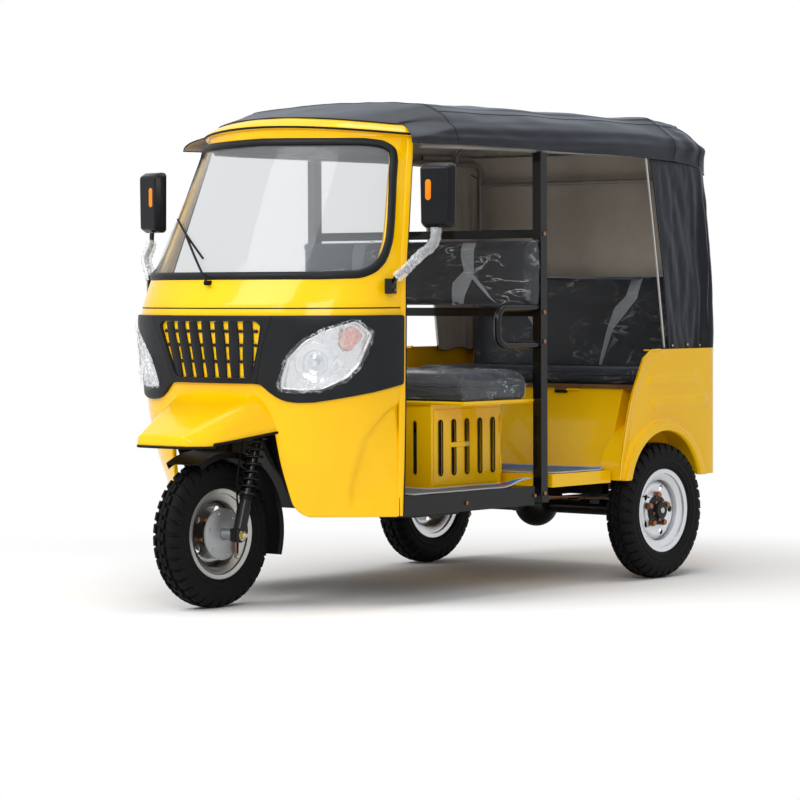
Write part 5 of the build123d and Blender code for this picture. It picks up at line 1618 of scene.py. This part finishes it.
for name, pad, low, high, z, body in (
    ("driver_seat", driver_cushion, (-138, -562), (280, 562), 803, "body"),
    ("bench_seat", bench_pad, (-1128, -580), (-796, 580), 822, "bench_lid"),
):
    tree = BVHTree.FromObject(pad, bpy.context.evaluated_depsgraph_get())
    line, normals = [], []
    for p in resampled(outline_of(low, high, 30, z), 14):
        near, normal, _, _ = tree.find_nearest(p * MM)
        line.append(near / MM + normal * 1.0)
        normals.append(normal)
    sweep(f"{name}_piping", line, normals, round_section(3.2, 8), seat_vinyl, body=body, closed=True)

# %% [markdown]
# ## Rear body panels
# A fine skin lies over each side panel: pressed ribs with round ends, the raised
# strip along its front edge and a rolled wheel arch flare.

# %% Side skins
SIDE = ((-600, 412), (-606, 431), (-612, 472), (-640, 588), (-677, 711), (-701, 766), (-744, 844), (-770, 892),
        (-818, 922), (-878, 924), (-1240, 924), (-1240, 412), (-1148, 412))
ARCH = (-903.0, 352.0)
PRESSED = (((-1125, 804), (-822, 804), 23), ((-1190, 713), (-850, 713), 28))


def pill_distance(x, z, a, b):
    ab = Vector((b[0] - a[0], b[1] - a[1]))
    t = max(0, min(1, ((x - a[0]) * ab.x + (z - a[1]) * ab.y) / ab.length_squared))
    return math.hypot(x - a[0] - ab.x * t, z - a[1] - ab.y * t)


def side_height(x, z):
    """How far the pressed skin stands out."""
    out = 0.0
    for a, b, r in PRESSED:
        out = max(out, 7.0 * smooth_step((r - pill_distance(x, z, a, b)) / 9 + 0.35))
    r = math.hypot(x - ARCH[0], z - ARCH[1])
    out = max(out, 24.6 * smooth_step((300 - r) / 30))
    front = [(px, pz) for px, pz in SIDE[:10]]
    d = min(edge_distance_line((x, z), front), 60)
    out = max(out, 5.0 * smooth_step((30 - d) / 6))
    return out


def edge_distance_line(point, line):
    best = 1e9
    p = Vector(point)
    for a, b in zip(line, line[1:]):
        a, b = Vector(a), Vector(b)
        ab = b - a
        t = max(0, min(1, (p - a).dot(ab) / ab.length_squared))
        best = min(best, (p - a - ab * t).length)
    return best


arch_outline = [(ARCH[0] + x, ARCH[1] + z) for x, z in (on_circle(251, a) for a in range(14, 167, 4))]
side_loop = list(SIDE[:-1]) + arch_outline[::-1]
for side, sign in SIDES:
    def side_surface(s, z, off=0.0, sign=sign):
        return Vector((s, sign * (641.2 + side_height(s, z) + off), z))
    skin = panel(f"side_skin_{side}", side_loop, [], side_surface, 2.0, yellow_enamel, edge=1.5, spacing=9.0)
    edge_line = [(x, sign * (643 + side_height(x, z)), z) for x, z in
                 [(p.x, p.y) for p in resampled([Vector((x, z, 0)) for x, z in SIDE[:10]], 12, closed=False)]]
    sweep(f"side_front_roll_{side}", edge_line, [Vector((0, sign, 0.01))] * len(edge_line), round_section(4.5, 10),
          yellow_enamel)
    lip = [(x, sign * 660, z) for x, z in arch_outline]
    sweep(f"arch_roll_{side}", lip, [Vector((0, sign, 0.01))] * len(lip), round_section(6.0, 10), yellow_enamel)
    inner = [(x + (ARCH[0] - x) * 0.016, sign * 652, z + (ARCH[1] - z) * 0.016) for x, z in arch_outline]
    inward = [(Vector((ARCH[0], 0, ARCH[1])) - Vector((x, 0, z))).normalized() for x, _, z in inner]
    sweep(f"arch_return_{side}", inner, inward, round_section(9.0, 8, 0.4), yellow_enamel)
print("side skins done")

# %% [markdown]
# ## Mirrors, wiper, bolts and cables

# %% Mirrors
for side, sign in SIDES:
    head = rounded_block(f"mirror_{side}_shell", (-27, -76, -123), (23, 76, 123), mirror_abs, radius=20, steps=6)
    for v in head.data.vertices:
        p = v.co / MM
        front = smooth_step((p.x + 10) / 30)
        over = Vector((max(0, abs(p.y) - 34), max(0, abs(p.z) - 81)))
        if over.length > 42:
            over = over.normalized() * 42
            p.y, p.z = math.copysign(34 + over.x, p.y), math.copysign(81 + over.y, p.z)
        p.y *= 1 - 0.16 * front - 0.06 * smooth_step((-p.z - 60) / 60)
        p.z *= 1 - 0.09 * front
        turn = math.radians(sign * 12)
        q = Vector((p.x * math.cos(turn) - p.y * math.sin(turn), p.x * math.sin(turn) + p.y * math.cos(turn), p.z))
        v.co = (q + Vector((632, sign * 723, 1514))) * MM
    head.data.update()
    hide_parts("mirror_heads")

    def on_mirror(y, z, off, sign=sign):
        turn = math.radians(sign * 12)
        x = 22.0 + off
        return Vector((632 + x * math.cos(turn) - y * math.sin(turn),
                       sign * 723 + x * math.sin(turn) + y * math.cos(turn), 1514 + z))

    pill = []
    for a in range(0, 360, 15):
        dy, dz = on_circle(12, a)
        pill.append((sign * -24 + dy, 20 + (26 if a < 180 else -26) + dz))
    panel(f"mirror_{side}_reflector", pill, [], lambda s, z, off=0.0, on=on_mirror: on(s, z, off + 1.8), 2.5,
          amber_plastic, edge=1.0, spacing=12.0)
    stalk = [Vector((744, sign * 622, 1215)), Vector((724, sign * 650, 1243)), Vector((697, sign * 697, 1296)),
             Vector((650, sign * 719, 1330)), Vector((636, sign * 722, 1362)), Vector((634, sign * 722, 1396))]
    tube(f"mirror_{side}_arm", [Vector((741, sign * 592, 1184))] + stalk, 9, black_enamel, bend=30)
    ring = 14
    line = resampled(rounded(stalk[:-1] if sign < 0 else stalk, 26, closed=False), 5, closed=False)
    verts, faces = [], []
    for i, p in enumerate(line):
        ahead = (line[min(i + 1, len(line) - 1)] - line[max(i - 1, 0)]).normalized()
        u = ahead.cross(Vector((0, 0.2, 1))).normalized()
        w = ahead.cross(u)
        for k in range(ring):
            a = math.tau * k / ring
            crush = noise.noise(Vector((i / 2.2, math.cos(a) * 1.6, math.sin(a) * 1.6 + sign * 9)))
            radius = 20 + 5.5 * crush + 2 * noise.noise(Vector((i / 0.9, math.cos(a) * 3, math.sin(a) * 3)))
            verts.append(p + (u * math.cos(a) + w * math.sin(a)) * radius)
    for i in range(len(line) - 1):
        faces += [(i * ring + k, i * ring + (k + 1) % ring, (i + 1) * ring + (k + 1) % ring, (i + 1) * ring + k)
                  for k in range(ring)]
    film = piece(f"mirror_{side}_wrap", verts, faces, wrap_film, angle=180)
    length = sum((b - a).length for a, b in zip(line, line[1:])) * MM
    near, far = sorted((sign * 592, sign * 603))
    rounded_block(f"mirror_bracket_{side}", (716, near, 1156), (775, far, 1212), black_enamel, radius=3)
    for k, (x, z) in enumerate(((730, 1170), (762, 1170), (730, 1199), (762, 1199))):
        turned(f"bracket_bolt_{side}_{k + 1}",
               ((0.01, sign * 608.5), (4, sign * 608), (5.5, sign * 606), (5.5, sign * 602)),
               (x, 0, z), copper_zinc, steps=6, closed=False)

# %% Wiper
spots = [cab_skin(run_of(y, z), z, 20) for y, z in ((-27, 1200), (-120, 1280), (-235, 1375))]
spindle = [cab_skin(run_of(-27, 1198), 1198, off) for off in (-6, 26)]
tube("wiper_spindle", spindle, 9, trim_rubber, resolution=20)
tube("wiper_arm", spots, 4.5, trim_rubber, bend=60)
blade_line = [cab_skin(run_of(y, z), z, 11) for y, z in ((-100, 1290), (-190, 1345), (-280, 1395), (-370, 1440))]
tube("wiper_blade", blade_line, 4, trim_rubber, bend=50)
tube("wiper_rubber", [p - Vector((4, 0, 0)) for p in blade_line], 2.4, trim_rubber, bend=50)

# %% Bolts
def bolt(name, place, outward, radius=9.0, material=None):
    """Domed hexagon head facing outward (+Y or -Y)."""
    x, y, z = place
    return turned(name, ((0.01, y + outward * 7), (radius * 0.7, y + outward * 6.4), (radius, y + outward * 4.6),
                         (radius, y)), (x, 0, z), material or copper_zinc, steps=6, closed=False)


for side, sign in SIDES:
    for k, (x, z) in enumerate(((-171, 1384), (-171, 1081), (-171, 968), (-171, 380))):
        bolt(f"post_bolt_{side}_{k + 1}", (x, sign * 600, z), sign, 9)
    for k, (x, z) in enumerate(((-120, 377), (300, 372), (-40, 300))):
        bolt(f"sill_bolt_{side}_{k + 1}", (x, sign * (591 if k < 2 else 332), z - 4), sign, 8)

# %% Engine door fittings
DOOR_FACE = 406.0
SLOT_ENDS = (660, 473)  # centres of a slot's round ends
for k, z in enumerate((478, 655)):
    for m in range(3):
        tube(f"door_hinge_{k + 1}_{m + 1}", [(-143, 405.2, z - 24 + 17 * m), (-143, 405.2, z - 9 + 17 * m)], 4.5,
             yellow_enamel, body="engine_door", resolution=14)
rounded_block("door_latch", (52, 401, 566), (166, 407.5, 586), yellow_enamel, radius=2.5, body="engine_door")
rounded_block("door_latch_knob", (60, 405, 570), (76, 414, 582), bright_zinc, radius=3, body="engine_door")
for k in range(5):
    loop = []
    for end, start in zip(SLOT_ENDS, (0, 180)):
        for a in range(start, start + 181, 20):
            dx, dz = on_circle(11, a)
            loop.append((225 - 80 * k + dx, DOOR_FACE, end + dz))
    sweep(f"slot_grommet_{k + 1}", loop, [Vector((0, 1, 0.01))] * len(loop), round_section(3.6, 8, 0.4),
          trim_rubber, body="engine_door", closed=True)
for side, sign in SIDES:
    tube(f"seat_pan_edge_{side}", [(-148, sign * 560, 741), (284, sign * 560, 741)], 6, yellow_enamel, bend=10)
tube("seat_pan_edge_front", [(284, 560, 741), (284, -560, 741)], 6, yellow_enamel, bend=10)

rounded_block("bench_hinge_cover", (-800, 184, 745), (-783, 244, 757), black_enamel, radius=2)
for side, sign in SIDES:
    near, far = sorted((sign * 112, sign * 156))
    rounded_block(f"fork_foot_{side}", (1048, near, 250), (1094, far, 300), chassis_enamel, radius=8,
                  body="steering")
    tube(f"fork_casting_{side}", [fork_point(14, sign * 135), fork_point(112, sign * 135)], 25, chassis_enamel,
         body="steering", resolution=28)

# %% Cables and rods, all fixed at both ends
cable = [fork_point(416, 84, 12), fork_point(400, 96, 34), fork_point(330, 106, 44), fork_point(180, 106, 34),
         (1012, 84, 330), (1008, 74, 200)]
tube("front_brake_cable", cable, 3.6, trim_rubber, body="steering", bend=60)
tube("rear_brake_rod", [(540, 140, 352), (100, 150, 338), (-420, 180, 330), (-860, 420, 318)], 4.0, bright_zinc,
     bend=80)
for side, sign in SIDES:
    tube(f"rear_brake_cable_{side}", [(-240, sign * 300, 362), (-520, sign * 380, 338), (-880, sign * 520, 330)],
         4.0, copper_zinc, bend=80)

# %% [markdown]
# ## Floor mats
# Grey ribbed mats with coloured bands near the rear edge and a pale binding. The
# rear outer corner of the driver's mat curls up a little.

# %% Mats
mat_blue = moulded("blue mat band", "#1C84CC", "#1777BA", 0.6)
mat_red = moulded("red mat line", "#A92F3A", "#8C2430", 0.7)
mat_pale = moulded("pale mat binding", "#C3C6CC", "#AFB2B8", 0.6)


def floor_mat(name, outline, bands, base, curl, node):
    """Sheet mat from a plan outline, coloured bands along y, binding around it."""
    def place(s, t, off=0.0):
        return Vector((s, t, base + curl(s, t) + off))

    mat = panel(name, outline, [], place, 3.0, mat_rubber, edge=0.8, spacing=18.0)
    for extra in (mat_blue, mat_red):
        mat.data.materials.append(extra)
    for poly in mat.data.polygons:
        x = poly.center.x / MM
        poly.material_index = next((i for lo, hi, i in bands if lo <= x < hi), 0)
    edge = [place(p.x, p.y, 1.5) for p in resampled([Vector((x, y, 0)) for x, y in outline], 16)]
    trim = sweep(f"{name}_binding", edge, [Vector((0, 0, 1))] * len(edge), round_section(4.2, 8, 0.8), mat_pale,
                 closed=True)
    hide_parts(node)
    return mat


def driver_curl(x, y):
    near = smooth_step((60 - x) / 150) * smooth_step((abs(y) - 430) / 120)
    return 26 * near + 1.5 * noise.noise(Vector((x / 90, y / 90, 0)))


driver_outline = [(590, 575), (590, -575), (-112, -575), (-112, -412), (300, -412), (300, 412), (-112, 412),
                  (-112, 575)]
floor_mat("driver_floor_mat", driver_outline, ((-112, -20, 1), (-20, 0, 2)), 412, driver_curl,
          "driver_mat")


def cabin_curl(x, y):
    near = smooth_step((-560 - x) / 50) * smooth_step((abs(y) - 480) / 80)
    return 6 * near + 1.2 * noise.noise(Vector((x / 80, y / 80, 4)))


cabin_outline = [(-240, -520), (-240, 520), (-300, 585), (-560, 582), (-606, 560), (-655, 510), (-655, -510),
                 (-606, -560), (-560, -582), (-300, -585)]
floor_mat("cabin_floor_mat", cabin_outline, ((-600, -520, 1), (-500, -484, 2)), 452, cabin_curl,
          "cabin_mat")

# %% [markdown]
# ## Camera and studio
# The camera stands where the photograph was taken from, low and to the front
# left, with a long lens. The studio is a pale floor and backdrop with broad soft
# lamps, so that enamel shows wide, gentle reflections.

# %% Camera
YAW, PITCH, ROLL = (math.radians(a) for a in (219.825, -2.058, -0.217))
forward = Vector((math.cos(YAW) * math.cos(PITCH), math.sin(YAW) * math.cos(PITCH), math.sin(PITCH)))
right = Vector((math.sin(YAW), -math.cos(YAW), 0))
up = right.cross(forward)
right, up = (right * math.cos(ROLL) + up * math.sin(ROLL), up * math.cos(ROLL) - right * math.sin(ROLL))
camera_data = bpy.data.cameras.new("camera")
camera = bpy.data.objects.new("camera", camera_data)
scene.collection.objects.link(camera)
camera.matrix_world = Matrix.Translation((9.5341, 8.0027, 1.1867)) @ Matrix((right, up, -forward)).transposed().to_4x4()
camera_data.sensor_width = 36.0
camera_data.lens = 3155.3 * 36 / 800
camera_data.shift_x = -7.2 / 800
camera_data.shift_y = -1.3 / 800
camera_data.clip_end = 200
scene.camera = camera

# %% Floor, backdrop and lamps
def studio_paper(name, colour, near, far):
    """Pale floor that keeps the shadow near the object and fades to plain white."""
    mat = bpy.data.materials.new(name)
    mat.use_nodes = True
    tree = mat.node_tree
    tree.nodes.clear()
    paper = add(tree, "ShaderNodeBsdfDiffuse", {"Color": linear(colour)})
    white = add(tree, "ShaderNodeEmission", {"Color": (1, 1, 1, 1), "Strength": 1.0})
    coords = add(tree, "ShaderNodeTexCoord").outputs["Object"]
    reach = add(tree, "ShaderNodeVectorMath", {0: coords}, operation="LENGTH").outputs["Value"]
    fade = add(tree, "ShaderNodeMapRange", {"Value": reach, "From Min": near, "From Max": far},
               interpolation_type="SMOOTHSTEP")
    rays = add(tree, "ShaderNodeLightPath")
    eye = add(tree, "ShaderNodeMath", {0: rays.outputs["Is Camera Ray"], 1: rays.outputs["Is Transmission Ray"]},
              operation="MAXIMUM")
    eye = add(tree, "ShaderNodeMath", {0: eye.outputs[0], 1: rays.outputs["Is Glossy Ray"]}, operation="MAXIMUM")
    share = add(tree, "ShaderNodeMath", {0: eye.outputs[0], 1: fade.outputs["Result"]}, operation="MULTIPLY")
    blend = add(tree, "ShaderNodeMixShader", {0: share.outputs[0], 1: paper.outputs[0], 2: white.outputs[0]})
    add(tree, "ShaderNodeOutputMaterial", {"Surface": blend.outputs[0]})
    return mat


bpy.ops.mesh.primitive_plane_add(size=400, location=(0, 0, 0))
floor = bpy.context.object
floor.name = "studio_floor"
floor.data.materials.append(studio_paper("studio paper", "#FAFAFA", 1.6, 3.2))

world = bpy.data.worlds.new("studio")
scene.world = world
world.use_nodes = True
sky = world.node_tree
sky.nodes.clear()
rays = add(sky, "ShaderNodeLightPath")
seen = add(sky, "ShaderNodeMath", {0: rays.outputs["Is Camera Ray"], 1: rays.outputs["Is Transmission Ray"]},
           operation="MAXIMUM")
seen = add(sky, "ShaderNodeMath", {0: seen.outputs[0], 1: rays.outputs["Is Glossy Ray"]}, operation="MAXIMUM")
dome = add(sky, "ShaderNodeBackground", {"Color": linear("#F6F7F9"), "Strength": 0.48})
paper_back = add(sky, "ShaderNodeBackground", {"Color": (1, 1, 1, 1), "Strength": 1.0})
blend = add(sky, "ShaderNodeMixShader", {0: seen.outputs[0], 1: dome.outputs[0], 2: paper_back.outputs[0]})
add(sky, "ShaderNodeOutputWorld", {"Surface": blend.outputs[0]})

LAMPS = (  # name, place, aim, size, watts
    ("key", (5.0, -1.5, 5.5), (0.6, 0.0, 0.9), 4.0, 265),
    ("side", (6.0, 4.2, 4.0), (-0.2, 0.2, 0.8), 3.0, 175),
    ("top", (-0.8, 0.5, 6.5), (-0.6, 0.0, 1.0), 4.0, 150),
)
for name, place, aim, size, watts in LAMPS:
    data = bpy.data.lights.new(name, "AREA")
    data.size = size
    data.energy = watts
    lamp = bpy.data.objects.new(name, data)
    lamp.location = place
    lamp.rotation_euler = (Vector(aim) - Vector(place)).to_track_quat("-Z", "Y").to_euler()
    scene.collection.objects.link(lamp)
scene.view_settings.view_transform = "Standard"
